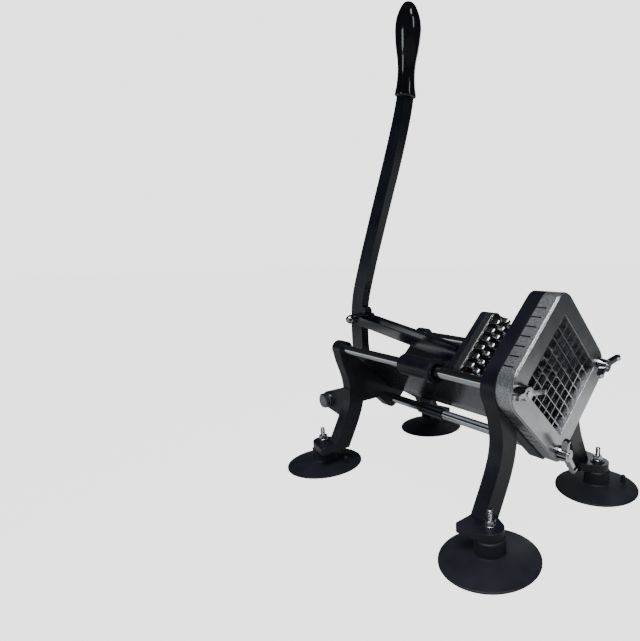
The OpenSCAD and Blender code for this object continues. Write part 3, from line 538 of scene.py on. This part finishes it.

# %% [markdown]
# ## Tumbled aluminium
# The blade frame is cast aluminium. Tumbling left its outer sides with a coarse sparkle,
# about a millimetre across. Its front face was ground flat and is calmer, and the bevel
# round that face is the brightest line on the machine. Two materials could share the
# piece, but a mask is simpler: the x part of the normal, because the front face looks
# along X. Slots and corners are darkened with painted shade.

# %% Which way a surface looks
def facing(tree, start, end):
    """0 to 1 as the surface turns from sideways to the outlet end of the machine."""
    split = node(tree, "ShaderNodeSeparateXYZ")
    tree.links.new(node(tree, "ShaderNodeTexCoord").outputs["Normal"], split.inputs[0])
    return ramp(tree, split.outputs["X"], start, end, 0, 1)


# %% Tumbled aluminium
SPARKLE_DULL, SPARKLE_BRIGHT = (0.42, 0.43, 0.46), (0.80, 0.81, 0.83)
CALM_DULL, CALM_BRIGHT, BEVEL_BRIGHT = (0.52, 0.525, 0.53), (0.66, 0.665, 0.67), (0.93, 0.93, 0.93)
# The slot colour is painted shade, laid into slots and corners.
EDGE_BRIGHT, SLOT_SHADE = (0.95, 0.95, 0.95), (0.012, 0.012, 0.014)


def cast_silver():
    made, tree, shader = finish("tumbled_aluminium", metallic=1.0)
    ground, bevel = facing(tree, 0.85, 0.97), facing(tree, 0.2, 0.4)
    sparkle = use(tree, GRAIN, Scale=900.0, Patch_Scale=650.0)
    cloudy = use(tree, GRAIN, Scale=2600.0, Patch_Scale=60.0)
    coarse = patchy(tree, sparkle.outputs["Patches"], SPARKLE_DULL, SPARKLE_BRIGHT, 0.38, 0.62)
    calm = patchy(tree, cloudy.outputs["Patches"], CALM_DULL, CALM_BRIGHT, 0.3, 0.7)
    tone = blend(tree, ground, blend(tree, bevel, coarse, BEVEL_BRIGHT), calm)
    edge = use(tree, EDGES, Radius=0.6 * MM, Break_Up=60.0)
    tone = tinted(tree, tone, edge.outputs["Edge"], 0.85, EDGE_BRIGHT)
    # Painted shade: slots and corners darken almost to black where the hollow mask is high.
    hollow = use(tree, HOLLOW_SHADE, Reach=3.5 * MM)
    tree.links.new(tinted(tree, tone, hollow.outputs["Hollow"], 0.95, SLOT_SHADE), shader.inputs["Base Color"])
    gloss = calc(tree, "ADD", ramp(tree, bevel, 0, 1, 0.40, 0.16), ramp(tree, ground, 0, 1, 0.0, 0.12))
    tree.links.new(gloss, shader.inputs["Roughness"])
    bump(tree, shader, sparkle.outputs["Height"], 0.06 * MM, 0.6)
    return made


CAST_SILVER = cast_silver()
print(CAST_SILVER.name, "made")

# %% [markdown]
# ## Pins with a painted reflection
# The pins and their plate are chromed too, but the faces that meet the potato are
# rougher and painted dark brown: a painted reflection of a potato that the scene leaves
# out. The same mask tells them from the sides.

# %% Pins with a painted reflection
CHROME_DULL, CHROME_BRIGHT = (0.32, 0.33, 0.35), (0.52, 0.53, 0.56)
POTATO_REFLECTION_DARK, POTATO_REFLECTION_PALE = (0.030, 0.025, 0.021), (0.11, 0.085, 0.066)


def painted_reflection_pin_chrome():
    made, tree, shader = finish("pin_chrome_with_painted_reflection", metallic=1.0)
    end_faces = facing(tree, 0.75, 0.95)
    skin = use(tree, GRAIN, Scale=420.0, Patch_Scale=110.0)
    clean = patchy(tree, skin.outputs["Patches"], CHROME_DULL, CHROME_BRIGHT)
    # Painted reflection: dark brown on the end faces, standing in for a mirrored potato.
    potato_reflection = patchy(tree, skin.outputs["Patches"], POTATO_REFLECTION_DARK, POTATO_REFLECTION_PALE, 0.4, 0.6)
    edge = use(tree, EDGES, Radius=0.4 * MM, Break_Up=60.0)
    tone = tinted(tree, blend(tree, end_faces, clean, potato_reflection), edge.outputs["Edge"], 0.8, RUBBED_METAL)
    tree.links.new(tone, shader.inputs["Base Color"])
    tree.links.new(ramp(tree, end_faces, 0, 1, 0.17, 0.38), shader.inputs["Roughness"])
    bump(tree, shader, skin.outputs["Patches"], 0.12 * MM, 0.5)
    return made


PIN_CHROME = painted_reflection_pin_chrome()
print(PIN_CHROME.name, "made")

# %% [markdown]
# ## Plastic and rubber
# The grip is dipped black plastic, almost a mirror: a thin clear coat over a duller
# base gives both the sharp glint and the soft one round it. The cups are soft rubber,
# rougher and a little uneven, with a weak reflection.

# %% Plastic and rubber
def grip_plastic():
    made, tree, shader = finish("glossy_grip_plastic", coat=0.8, coat_roughness=0.03)
    skin = use(tree, GRAIN, Scale=240.0, Patch_Scale=18.0)
    tone = blend(tree, skin.outputs["Patches"], (0.007, 0.0075, 0.012), (0.009, 0.0095, 0.015))
    tree.links.new(tone, shader.inputs["Base Color"])
    tree.links.new(ramp(tree, skin.outputs["Patches"], 0.3, 0.7, 0.10, 0.17), shader.inputs["Roughness"])
    bump(tree, shader, skin.outputs["Patches"], 0.1 * MM, 0.2)
    return made


def cup_rubber():
    made, tree, shader = finish("suction_cup_rubber", specular=0.3)
    skin = use(tree, GRAIN, Scale=1800.0, Patch_Scale=60.0)
    tone = patchy(tree, skin.outputs["Patches"], (0.0085, 0.0095, 0.014), (0.013, 0.0145, 0.020), 0.3, 0.7)
    tree.links.new(tone, shader.inputs["Base Color"])
    tree.links.new(ramp(tree, skin.outputs["Patches"], 0.3, 0.7, 0.42, 0.56), shader.inputs["Roughness"])
    bump(tree, shader, skin.outputs["Height"], 0.03 * MM, 0.5)
    return made


GRIP_PLASTIC, CUP_RUBBER = grip_plastic(), cup_rubber()
print(GRIP_PLASTIC.name, "and", CUP_RUBBER.name, "made")

# %% [markdown]
# ## Soft edges
# An exact solid has knife-sharp edges, which catch no light. A casting, a turned part
# and a bent sheet all have small round edges instead, and those draw the thin bright
# lines that make a black part readable. The solids are exact and stay as they are, so a
# copy of each mesh is rounded: its loose triangles are welded and merged into flat
# faces, and a Bevel modifier rounds what is sharper than a limit.

# %% Copy a solid and merge its triangles
WELD, FLAT_WITHIN, SHARP = 0.002 * MM, math.radians(0.6), math.radians(32)


def merged(cad_name):
    """The solid's triangles, welded and merged into flat faces, as a mesh in the making."""
    bm = bmesh.new()
    bm.from_mesh(frame["nodes"][cad_name].data)
    bmesh.ops.remove_doubles(bm, verts=bm.verts, dist=WELD)
    bmesh.ops.dissolve_limit(bm, angle_limit=FLAT_WITHIN, verts=bm.verts, edges=bm.edges)
    return bm


def plain_mesh(thing, name):
    """The object with its modifiers applied, as a mesh of its own."""
    graph = bpy.context.evaluated_depsgraph_get()
    mesh = bpy.data.meshes.new_from_object(thing.evaluated_get(graph))
    mesh.name = name
    return mesh


def shade_smooth(mesh):
    for face in mesh.polygons:
        face.use_smooth = True


# %% Round the edges and put the piece in place
def put(cad_name, mesh):
    """Puts a dressed piece in the place of its solid, on the same body."""
    piece = add(cad_name + "_dressed", mesh)
    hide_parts(cad_name)
    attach(piece, BODY_OF[cad_name])
    return piece


def softened(cad_name, width, steps):
    mesh = mesh_from(merged(cad_name), cad_name + "_soft")
    shade_smooth(mesh)
    work = add(cad_name + "_work", mesh)
    round_off = work.modifiers.new("round_off", "BEVEL")
    round_off.width, round_off.segments = width, steps
    round_off.limit_method, round_off.angle_limit = "ANGLE", SHARP
    work.modifiers.new("even_shading", "WEIGHTED_NORMAL").keep_sharp = True
    result = plain_mesh(work, cad_name + "_dressed")
    bpy.data.objects.remove(work)
    return result


def dress(cad_name, finish_of, width, steps=2):
    mesh = softened(cad_name, width, steps)
    mesh.materials.clear()
    mesh.materials.append(finish_of)
    piece = put(cad_name, mesh)
    print(piece.name, len(mesh.polygons), "faces")
    return piece


# %% Castings, lever, bars and grip
for cad_name, width in (("front_frame", 1.2), ("rear_frame", 1.2), ("carriage", 1.0)):
    dress(cad_name, CASTING_BLACK, width * MM, 3)
dress("handle_lever", LEVER_BLACK, 1.3 * MM, 3)
for bar in ("link_bar_left", "link_bar_right"):
    dress(bar, BAR_BLACK, 0.7 * MM)
grip = dress("handle_grip", GRIP_PLASTIC, 1.6 * MM, 3)

# %% [markdown]
# ## A flag for the grip
# The softbox would show in the grip as a large white square. In a studio a black card,
# called a flag, is held between the two. Light linking does the same: the grip goes into
# a collection that this one lamp leaves out.

# %% Keep the softbox off the grip
flag = bpy.data.collections.new("out_of_the_softbox")
flag.objects.link(grip)
flag.collection_objects[0].light_linking.link_state = "EXCLUDE"
overhead.light_linking.receiver_collection = flag

# %% [markdown]
# ## Blade frame, tray, block and wing nuts
# These need less rounding than the black castings. A sheet or a screw has only its burr
# taken off, and the blade frame keeps crisp edges. The wings of the nuts are rounder.

# %% Blade frame, tray, block and wing nuts
for cad_name, finish_of, slot, width, steps in (
    ("blade_frame", CAST_SILVER, "cast_silver", 0.3, 2),
    ("pusher_block", BLOCK_GREY, "block_grey", 0.6, 2),
    ("pin_plate", PIN_CHROME, "pin_chrome", 0.3, 2),
    ("potato_tray", TRAY_STEEL, "tray_steel", 0.25, 2),
    ("tray_clip", CLIP_STEEL, "tray_steel", 0.4, 2),
    ("wing_nut_left", WING_CHROME, "wing_chrome", 1.0, 3),
    ("wing_nut_right", WING_CHROME, "wing_chrome", 1.0, 3),
    ("wing_nut_lower", WING_CHROME, "wing_chrome", 1.0, 3),
    ("rod_end_screws", ZINC, "zinc", 0.5, 2),
    ("block_screws", ZINC, "zinc", 0.3, 2),
):
    dress(cad_name, finish_of, width * MM, steps)

# %% [markdown]
# ## Ground blades
# A blade is a thin steel strip, and the potato meets only its ground edge. Each strip's
# two rear edges are chamfered until they almost meet, and the other edges just lose
# their burr. A Bevel modifier can't tell the two apart, so this is done in mesh code. The
# chamfer goes in before the burr, on edges that lie in the rear plane.

# %% Grind the rear edges
GRIND, BURR, SHORTEST, CORNER_TURN = 0.33 * MM, 0.08 * MM, 2 * MM, 1.2


def ground_blades(cad_name):
    bm = merged(cad_name)
    rear = min(v.co.x for v in bm.verts) + 0.01 * MM
    keen = [e for e in bm.edges if max(v.co.x for v in e.verts) < rear and e.calc_length() > SHORTEST]
    bmesh.ops.bevel(bm, geom=keen, offset=GRIND, segments=1, affect="EDGES", clamp_overlap=True)
    dull = [e for e in bm.edges
            if e.calc_length() > SHORTEST and e.is_manifold and e.calc_face_angle() > CORNER_TURN]
    bmesh.ops.bevel(bm, geom=dull, offset=BURR, segments=1, affect="EDGES", clamp_overlap=True)
    mesh = mesh_from(bm, cad_name + "_dressed")
    mesh.materials.append(BLADE_STEEL)
    return put(cad_name, mesh)


for cad_name in ("blades_rising", "blades_falling"):
    piece = ground_blades(cad_name)
    print(piece.name, len(piece.data.polygons), "faces")

# %% [markdown]
# ## Pins that push the potato
# Sixty blunt pegs stand on the plate, one for each cell of the blades except the four
# in the corners. One peg is made in mesh code, as rings of a square with round corners
# that taper to a shallow dished end. Copying it sixty times by hand would work too, but
# Geometry Nodes keep the rule in sight: a grid of points, the corner points deleted, a
# peg on each, and a hair of tilt because no casting is perfect.

# %% One peg
PEG_FOOT, PEG_ROOT, PEG_TIP, PEG_FOOT_L, PEG_CORNER = (v * MM for v in (4.2, 3.5, 2.8, 1.0, 0.55))
EASE, LIP, DISH = 0.2 * MM, 0.8 * MM, 0.35 * MM
AROUND = 16                                            # four corners of four points


def square_ring(bm, half, height):
    """A square ring with round corners, as a loop of vertices."""
    loop = []
    for k in range(AROUND):
        a = math.radians(90 * (k // 4) + 30 * (k % 4))
        mid = math.radians(90 * (k // 4) + 45)
        x = math.copysign(half - PEG_CORNER, math.cos(mid)) + PEG_CORNER * math.cos(a)
        y = math.copysign(half - PEG_CORNER, math.sin(mid)) + PEG_CORNER * math.sin(a)
        loop.append(bm.verts.new((x, y, height)))
    return loop


def bridge(bm, low, high):
    """Faces between two loops of as many points."""
    for k in range(len(low)):
        after = (k + 1) % len(low)
        bm.faces.new((low[k], low[after], high[after], high[k]))


def peg(length):
    rings = [
        (PEG_FOOT - EASE, 0), (PEG_FOOT, 0.15 * MM), (PEG_FOOT, PEG_FOOT_L - EASE),
        (PEG_FOOT - EASE, PEG_FOOT_L), (PEG_ROOT, PEG_FOOT_L), (PEG_TIP, length - 1.4 * MM),
        (PEG_TIP - 0.3 * MM, length - 0.6 * MM), (PEG_TIP - LIP, length),
        (PEG_TIP - 1.6 * LIP, length), (PEG_TIP - 2.4 * LIP, length - DISH),
    ]
    bm = bmesh.new()
    loops = [square_ring(bm, half, height) for half, height in rings]
    for low, high in zip(loops, loops[1:]):
        bridge(bm, low, high)
    bm.faces.new(reversed(loops[0]))
    bm.faces.new(loops[-1])
    mesh = mesh_from(bm, "peg")
    shade_smooth(mesh)
    mesh.set_sharp_from_angle(angle=SHARP)
    return add("peg", mesh)


low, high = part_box("pusher_pins")
model = peg(high[0] - low[0])
print("one peg:", len(model.data.polygons), "faces")

# %% [markdown]
# A tree takes a few loose points and its sizes. It ends in real copies with a finish,
# because an export drops instances. A size is set on the modifier by its socket's
# identifier, before the object is first evaluated. The result is copied to a plain mesh,
# and the helper object goes.

# %% Trees that grow geometry
def geometry_tree(name, *sizes):
    """A tree with Points to stand on, the sizes, and the Finish of the result."""
    tree = bpy.data.node_groups.new(name, "GeometryNodeTree")
    tree.interface.new_socket("Geometry", in_out="OUTPUT", socket_type="NodeSocketGeometry")
    for label, kind, value in (("Points", "Geometry", None), *sizes, ("Finish", "Material", None)):
        socket = tree.interface.new_socket(label, in_out="INPUT", socket_type="NodeSocket" + kind)
        if value is not None:
            socket.default_value = value
    return tree, tree.nodes.new("NodeGroupInput").outputs, tree.nodes.new("NodeGroupOutput")


def coordinates(tree):
    """The x, y and z of every point."""
    where = node(tree, "ShaderNodeSeparateXYZ")
    tree.links.new(node(tree, "GeometryNodeInputPosition").outputs[0], where.inputs[0])
    return where.outputs


# %% From a tree to a plain mesh
def stand_on(tree, points, shape, turn, given, out):
    """How each tree ends: a shape on every point, made real, with its finish."""
    place = node(tree, "GeometryNodeInstanceOnPoints")
    real = node(tree, "GeometryNodeRealizeInstances")
    painted = node(tree, "GeometryNodeSetMaterial")
    for source, target in (
        (points, place.inputs["Points"]), (shape, place.inputs["Instance"]), (turn, place.inputs["Rotation"]),
        (place.outputs[0], real.inputs[0]), (real.outputs[0], painted.inputs["Geometry"]),
        (given["Finish"], painted.inputs["Material"]), (painted.outputs[0], out.inputs[0]),
    ):
        tree.links.new(source, target)


def grown(tree, name, points=((0, 0, 0),), **values):
    """Runs a tree on a few loose points and gives the result as a plain mesh."""
    seed = bpy.data.meshes.new(name + "_points")
    seed.from_pydata([tuple(p) for p in points], [], [])
    work = add(name + "_work", seed)
    maker = work.modifiers.new("maker", "NODES")
    maker.node_group = tree
    sockets = {item.name: item.identifier for item in tree.interface.items_tree if item.in_out == "INPUT"}
    for label, value in values.items():
        maker[sockets[label.replace("_", " ")]] = value
    mesh = plain_mesh(work, name)
    work.modifiers.remove(maker)
    bpy.data.objects.remove(work)
    return mesh


# %% The field of pegs
def build_peg_field():
    tree, given, out = geometry_tree(
        "peg_field", ("Peg", "Object", None), ("Per Side", "Int", 8), ("Pitch", "Float", 11.5 * MM),
        ("Tilt", "Float", 0.01), ("Seed", "Int", 3))
    link = tree.links.new
    side = calc(tree, "MULTIPLY", given["Pitch"], calc(tree, "SUBTRACT", given["Per Side"], 1))
    grid = node(tree, "GeometryNodeMeshGrid")
    for axis in ("X", "Y"):
        link(side, grid.inputs["Size " + axis])
        link(given["Per Side"], grid.inputs["Vertices " + axis])
    x, y, z = coordinates(tree)
    reach = calc(tree, "ADD", calc(tree, "ABSOLUTE", x), calc(tree, "ABSOLUTE", y))
    limit = calc(tree, "SUBTRACT", side, calc(tree, "MULTIPLY", given["Pitch"], 0.5))
    trim = node(tree, "GeometryNodeDeleteGeometry")
    link(grid.outputs["Mesh"], trim.inputs["Geometry"])
    link(calc(tree, "GREATER_THAN", reach, limit), trim.inputs["Selection"])
    copied = node(tree, "GeometryNodeObjectInfo")
    link(given["Peg"], copied.inputs["Object"])
    lean = node(tree, "FunctionNodeRandomValue", data_type="FLOAT")
    link(calc(tree, "MULTIPLY", given["Tilt"], -1), lean.inputs[2])
    link(given["Tilt"], lean.inputs[3])
    link(given["Seed"], lean.inputs["Seed"])
    turn = node(tree, "ShaderNodeCombineXYZ")
    link(lean.outputs[1], turn.inputs["X"])
    link(calc(tree, "MULTIPLY", lean.outputs[1], 0.6), turn.inputs["Y"])
    stand_on(tree, trim.outputs[0], copied.outputs["Geometry"], turn.outputs[0], given, out)
    return tree


pegs = grown(build_peg_field(), "pusher_pins_dressed", Peg=model, Per_Side=8, Pitch=11.5 * MM, Tilt=0.008,
             Finish=PIN_CHROME)
bpy.data.objects.remove(model)
c = math.sqrt(0.5)                                     # the square stands on its corner
stand = Matrix(((0, 0, 1, low[0]), (c, -c, 0, 0), (c, c, 0, (low[2] + high[2]) / 2), (0, 0, 0, 1)))
pegs.transform(stand)
put("pusher_pins", pegs)
print("pegs:", len(pegs.polygons), "faces")

# %% [markdown]
# ## Threads
# The four foot studs are threaded over their whole length. A thread could be drawn as a
# helix with the Screw modifier, but it is a rule more than a shape: going once round the
# stud climbs one pitch, and the radius falls and rises with that climb. Geometry Nodes
# apply the rule to a plain cylinder, chamfer both ends, and set a copy on each foot with
# its own random start. The same tree cuts the thread that shows beyond the pivot nut.

# %% A tree that cuts a thread
ROUND, RINGS_PER_PITCH, CHAMFER = 24, 5, 1.3


def build_threads():
    tree, given, out = geometry_tree(
        "screw_threads", ("Radius", "Float", 3 * MM), ("Length", "Float", 40 * MM),
        ("Pitch", "Float", 1 * MM), ("Depth", "Float", 0.5 * MM), ("Seed", "Int", 5))
    link = tree.links.new
    rod = node(tree, "GeometryNodeMeshCylinder", Vertices=ROUND)
    turns = calc(tree, "DIVIDE", given["Length"], given["Pitch"])
    link(calc(tree, "MULTIPLY", turns, RINGS_PER_PITCH), rod.inputs["Side Segments"])
    link(given["Radius"], rod.inputs["Radius"])
    link(given["Length"], rod.inputs["Depth"])
    x, y, z = coordinates(tree)
    around = calc(tree, "DIVIDE", calc(tree, "ARCTAN2", y, x), 2 * math.pi)
    climb = calc(tree, "SUBTRACT", calc(tree, "DIVIDE", z, given["Pitch"]), around)
    wave = calc(tree, "ABSOLUTE", calc(tree, "MULTIPLY_ADD", calc(tree, "FRACT", climb), 2, -1))
    groove = calc(tree, "MULTIPLY", wave, given["Depth"])
    room = calc(tree, "SUBTRACT", calc(tree, "MULTIPLY", given["Length"], 0.5), calc(tree, "ABSOLUTE", z))
    tip = calc(tree, "SUBTRACT", calc(tree, "MULTIPLY", given["Depth"], CHAMFER), room)
    cut_in = calc(tree, "DIVIDE", calc(tree, "MAXIMUM", groove, tip), given["Radius"])
    share = calc(tree, "SUBTRACT", 1, cut_in)
    moved = node(tree, "ShaderNodeCombineXYZ")
    link(calc(tree, "MULTIPLY", x, share), moved.inputs["X"])
    link(calc(tree, "MULTIPLY", y, share), moved.inputs["Y"])
    link(z, moved.inputs["Z"])
    cut = node(tree, "GeometryNodeSetPosition")
    link(rod.outputs["Mesh"], cut.inputs["Geometry"])
    link(moved.outputs[0], cut.inputs["Position"])
    start = node(tree, "FunctionNodeRandomValue", data_type="FLOAT")
    start.inputs[3].default_value = 2 * math.pi
    link(given["Seed"], start.inputs["Seed"])
    turn = node(tree, "ShaderNodeCombineXYZ")
    link(start.outputs[1], turn.inputs["Z"])
    stand_on(tree, given["Points"], cut.outputs[0], turn.outputs[0], given, out)
    return tree


THREADS = build_threads()
print("tree:", THREADS.name)


# %% Threaded foot studs
def middle(cad_name):
    """The middle of a solid's box."""
    return tuple((a + b) / 2 for a, b in zip(*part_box(cad_name)))


CUPS = [cad_name for cad_name in frame["nodes"] if cad_name.startswith("suction_cup")]
FEET = [middle(cup)[:2] for cup in CUPS]
low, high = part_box("foot_studs")
studs = grown(THREADS, "foot_studs_dressed", [(x, y, middle("foot_studs")[2]) for x, y in FEET],
              Radius=3 * MM, Length=high[2] - low[2], Pitch=1 * MM, Depth=0.55 * MM, Finish=ZINC)
shade_smooth(studs)
studs.set_sharp_from_angle(angle=math.radians(50))
put("foot_studs", studs)
print("studs:", len(studs.polygons), "faces, one on each of", len(FEET), "feet")

# %% [markdown]
# ## Nuts, bolts and washers
# Real hexagons are turned to a blunt cone at the face, so each flat ends in an arc. The
# rings below follow the hexagon outside and the cone at the ends. A domed nut adds a
# quarter circle, and a washer has slightly rounded rims. A boolean of a prism and a cone
# would give the same arcs, but with untidy faces. Places and overall lengths come from
# the solids. Heads, bores and widths across flats are the usual ones for their thread.

# %% Rings of a turned part
SIDES = 48
CONE = math.tan(math.radians(30))
HEAD_FACE = 0.95                                       # the cone meets the face just inside the flats


def hexagon(flats):
    """Distance from the axis to the hexagon's side, for a direction in radians."""
    return lambda a: flats / 2 / math.cos(math.radians(math.degrees(a) % 60 - 30))


def lathe(rings, hollow):
    """Turns (reach, height) pairs round the axis. Either may depend on the direction."""
    bm = bmesh.new()
    loops = []
    for reach, height in rings:
        loop = []
        for k in range(SIDES):
            a = 2 * math.pi * k / SIDES
            r = reach(a) if callable(reach) else reach
            z = height(a) if callable(height) else height
            loop.append(bm.verts.new((r * math.cos(a), r * math.sin(a), z)))
        loops.append(loop)
    for low, high in zip(loops, loops[1:]):
        bridge(bm, low, high)
    if hollow:
        bridge(bm, loops[-1], loops[0])
    else:
        bm.faces.new(reversed(loops[0]))
        bm.faces.new(loops[-1])
    bmesh.ops.recalc_face_normals(bm, faces=bm.faces)
    return bm


# %% Nut, bolt, washer and dome
def hexagon_rings(flats, start, end):
    face, side = flats / 2 * HEAD_FACE, hexagon(flats)
    return [
        (face, start), (side, lambda a: start + (side(a) - face) * CONE),
        (side, lambda a: end - (side(a) - face) * CONE), (face, end),
    ]


def bore_rings(bore, start, end, lead):
    return [(bore + lead, end), (bore, end - lead), (bore, start + lead), (bore + lead, start)]


def nut(flats, bore, start, end):
    return lathe(hexagon_rings(flats, start, end) + bore_rings(bore, start, end, 0.3 * MM), True)


def washer(outer, bore, start, end, rim=0.25 * MM):
    rings = [(outer - rim, start), (outer, start + rim), (outer, end - rim), (outer - rim, end)]
    return lathe(rings + bore_rings(bore, start, end, 0.15 * MM), True)


def domed_nut(flats, dome_r, start, end):
    """A closed nut: its dome begins at start and its hexagon stops at end."""
    waist, side = start + dome_r, hexagon(flats)
    steps = [math.radians(a) for a in range(87, 0, -8)]
    rings = [(dome_r * math.cos(a), waist - dome_r * math.sin(a)) for a in steps]
    rings += [(dome_r, waist), (side, lambda a: waist + (side(a) - dome_r) * CONE)]
    rings += [(side, end - 0.3 * MM), (flats / 2, end)]
    return lathe(rings, False)


# %% Join parts into one piece
def joined(cad_name, parts, finish_of, extra=()):
    """parts are turned parts with the matrix that places each, extra are finished meshes."""
    bm = bmesh.new()
    for part, place in parts:
        part.transform(place)
        flat = mesh_from(part, "part")
        bm.from_mesh(flat)
        bpy.data.meshes.remove(flat)
    for mesh in extra:
        bm.from_mesh(mesh)
    mesh = mesh_from(bm, cad_name + "_dressed")
    mesh.materials.append(finish_of)
    shade_smooth(mesh)
    mesh.set_sharp_from_angle(angle=math.radians(28))
    print(cad_name, len(mesh.polygons), "faces")
    return put(cad_name, mesh)


def upright(x, y, turn=0.0):
    return Matrix.Translation((x, y, 0)) @ Matrix.Rotation(math.radians(turn), 4, "Z")


def across(cad_name):
    """Lays a turned part across the machine on a solid's axis, a corner of its hexagon along X."""
    x, y, z = middle(cad_name)
    return Matrix(((1, 0, 0, x), (0, 0, 1, 0), (0, -1, 0, z), (0, 0, 0, 1)))


# %% [markdown]
# A foot is a stud, a washer and a nut. Nobody tightens four nuts to the same angle, so
# each is turned a little to its own side.

# %% Feet
FOOT_FLATS, FOOT_NUT_BORE, FOOT_WASHER_R, FOOT_WASHER_BORE = (v * MM for v in (10, 3.05, 6.2, 3.2))
NUT_TURN = 12
low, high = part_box("foot_nuts")
parts = [(nut(FOOT_FLATS, FOOT_NUT_BORE, low[2], high[2]), upright(x, y, math.copysign(NUT_TURN, x * y)))
         for x, y in FEET]
joined("foot_nuts", parts, ZINC)
low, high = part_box("foot_washers")
parts = [(washer(FOOT_WASHER_R, FOOT_WASHER_BORE, low[2], high[2]), upright(x, y)) for x, y in FEET]
joined("foot_washers", parts, ZINC)

# %% [markdown]
# The lever turns on one long bolt through both ears of the rear casting. Its shank is
# plain up to the nut and threaded beyond it. Four washers keep ears, hub and nut apart,
# and their places are read from the solid: a flat washer's mesh has only two levels.

# %% Lever pivot
PIVOT_FLATS, PIVOT_R, PIVOT_HEAD, PIVOT_PITCH, PIVOT_DEPTH = (v * MM for v in (19, 6, 7.5, 1.75, 0.9))
PIVOT_NUT_BORE, PIVOT_WASHER_R, PIVOT_WASHER_BORE = (v * MM for v in (6.05, 10.5, 6.2))
low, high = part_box("pivot_bolt")
nut_low, nut_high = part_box("pivot_nut")
pivot = across("pivot_bolt")
head = hexagon_rings(PIVOT_FLATS, low[1], low[1] + PIVOT_HEAD)
shank = [(PIVOT_R, low[1] + PIVOT_HEAD), (PIVOT_R, nut_low[1])]
thread_l = high[1] - nut_low[1]
thread = grown(THREADS, "pivot_thread", Radius=PIVOT_R, Length=thread_l, Pitch=PIVOT_PITCH, Depth=PIVOT_DEPTH,
               Finish=ZINC)
thread.transform(pivot @ Matrix.Translation((0, 0, nut_low[1] + thread_l / 2)))
parts = [(lathe(head, False), pivot), (lathe(shank, False), pivot)]
joined("pivot_bolt", parts, BOLT_STEEL, extra=[thread])
joined("pivot_nut", [(nut(PIVOT_FLATS, PIVOT_NUT_BORE, nut_low[1], nut_high[1]), pivot)], BOLT_STEEL)
levels = sorted({round(v.co.y / MM, 2) * MM for v in frame["nodes"]["pivot_washers"].data.vertices})
parts = [(washer(PIVOT_WASHER_R, PIVOT_WASHER_BORE, start, end), pivot)
         for start, end in zip(levels[::2], levels[1::2])]
joined("pivot_washers", parts, ZINC)
print("pivot at", tuple(round(v, 4) for v in pivot.translation), "with", len(parts), "washers")

# %% [markdown]
# Two smaller bolts hold the link bars, one at the lever and one at the pusher. The one at
# the lever ends in a domed nut, where a hand may brush past it.

# %% Bolts of the link bars
LINK_FLATS, LINK_R, LINK_HEAD, LINK_EASE = (v * MM for v in (13, 4, 5.5, 0.4))
LINK_NUT_BORE, DOME_R = 4.05 * MM, 6.1 * MM


def link_bolt(cad_name):
    low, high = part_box(cad_name)
    neck = high[1] - LINK_HEAD
    head = hexagon_rings(LINK_FLATS, neck, high[1])
    shank = [(LINK_R - LINK_EASE, low[1]), (LINK_R, low[1] + LINK_EASE), (LINK_R, neck)]
    hinge = across(cad_name)
    joined(cad_name, [(lathe(head, False), hinge), (lathe(shank, False), hinge)], ZINC)
    return hinge


hinge = link_bolt("link_rear_bolt")
low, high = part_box("link_rear_nut")
joined("link_rear_nut", [(domed_nut(LINK_FLATS, DOME_R, low[1], high[1]), hinge)], WING_CHROME)
hinge = link_bolt("link_front_bolt")
low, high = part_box("link_front_nut")
joined("link_front_nut", [(nut(LINK_FLATS, LINK_NUT_BORE, low[1], high[1]), hinge)], ZINC)

# %% [markdown]
# ## Solids that keep their shape
# Rods, bushes, cups and plain washers are round already, and their solids are fine
# enough to be seen as they are. They only take a finish.

# %% Finishes on the solids whose shape stays
def coat(finish_of, *cad_names):
    for cad_name in cad_names:
        materials = frame["nodes"][cad_name].data.materials
        materials.clear()
        materials.append(finish_of)
    print(finish_of.name, "on", len(cad_names), "solids")


coat(ROD_CHROME, "guide_rod_left", "guide_rod_right", "lower_tie_rod")
coat(BRONZE, "bush_left", "bush_right")
coat(ZINC, "rod_end_washers", "wing_nut_washers", "grip_stud")
coat(LEVER_BLACK, "link_rear_washers", "link_front_washers")
coat(CUP_RUBBER, *CUPS)
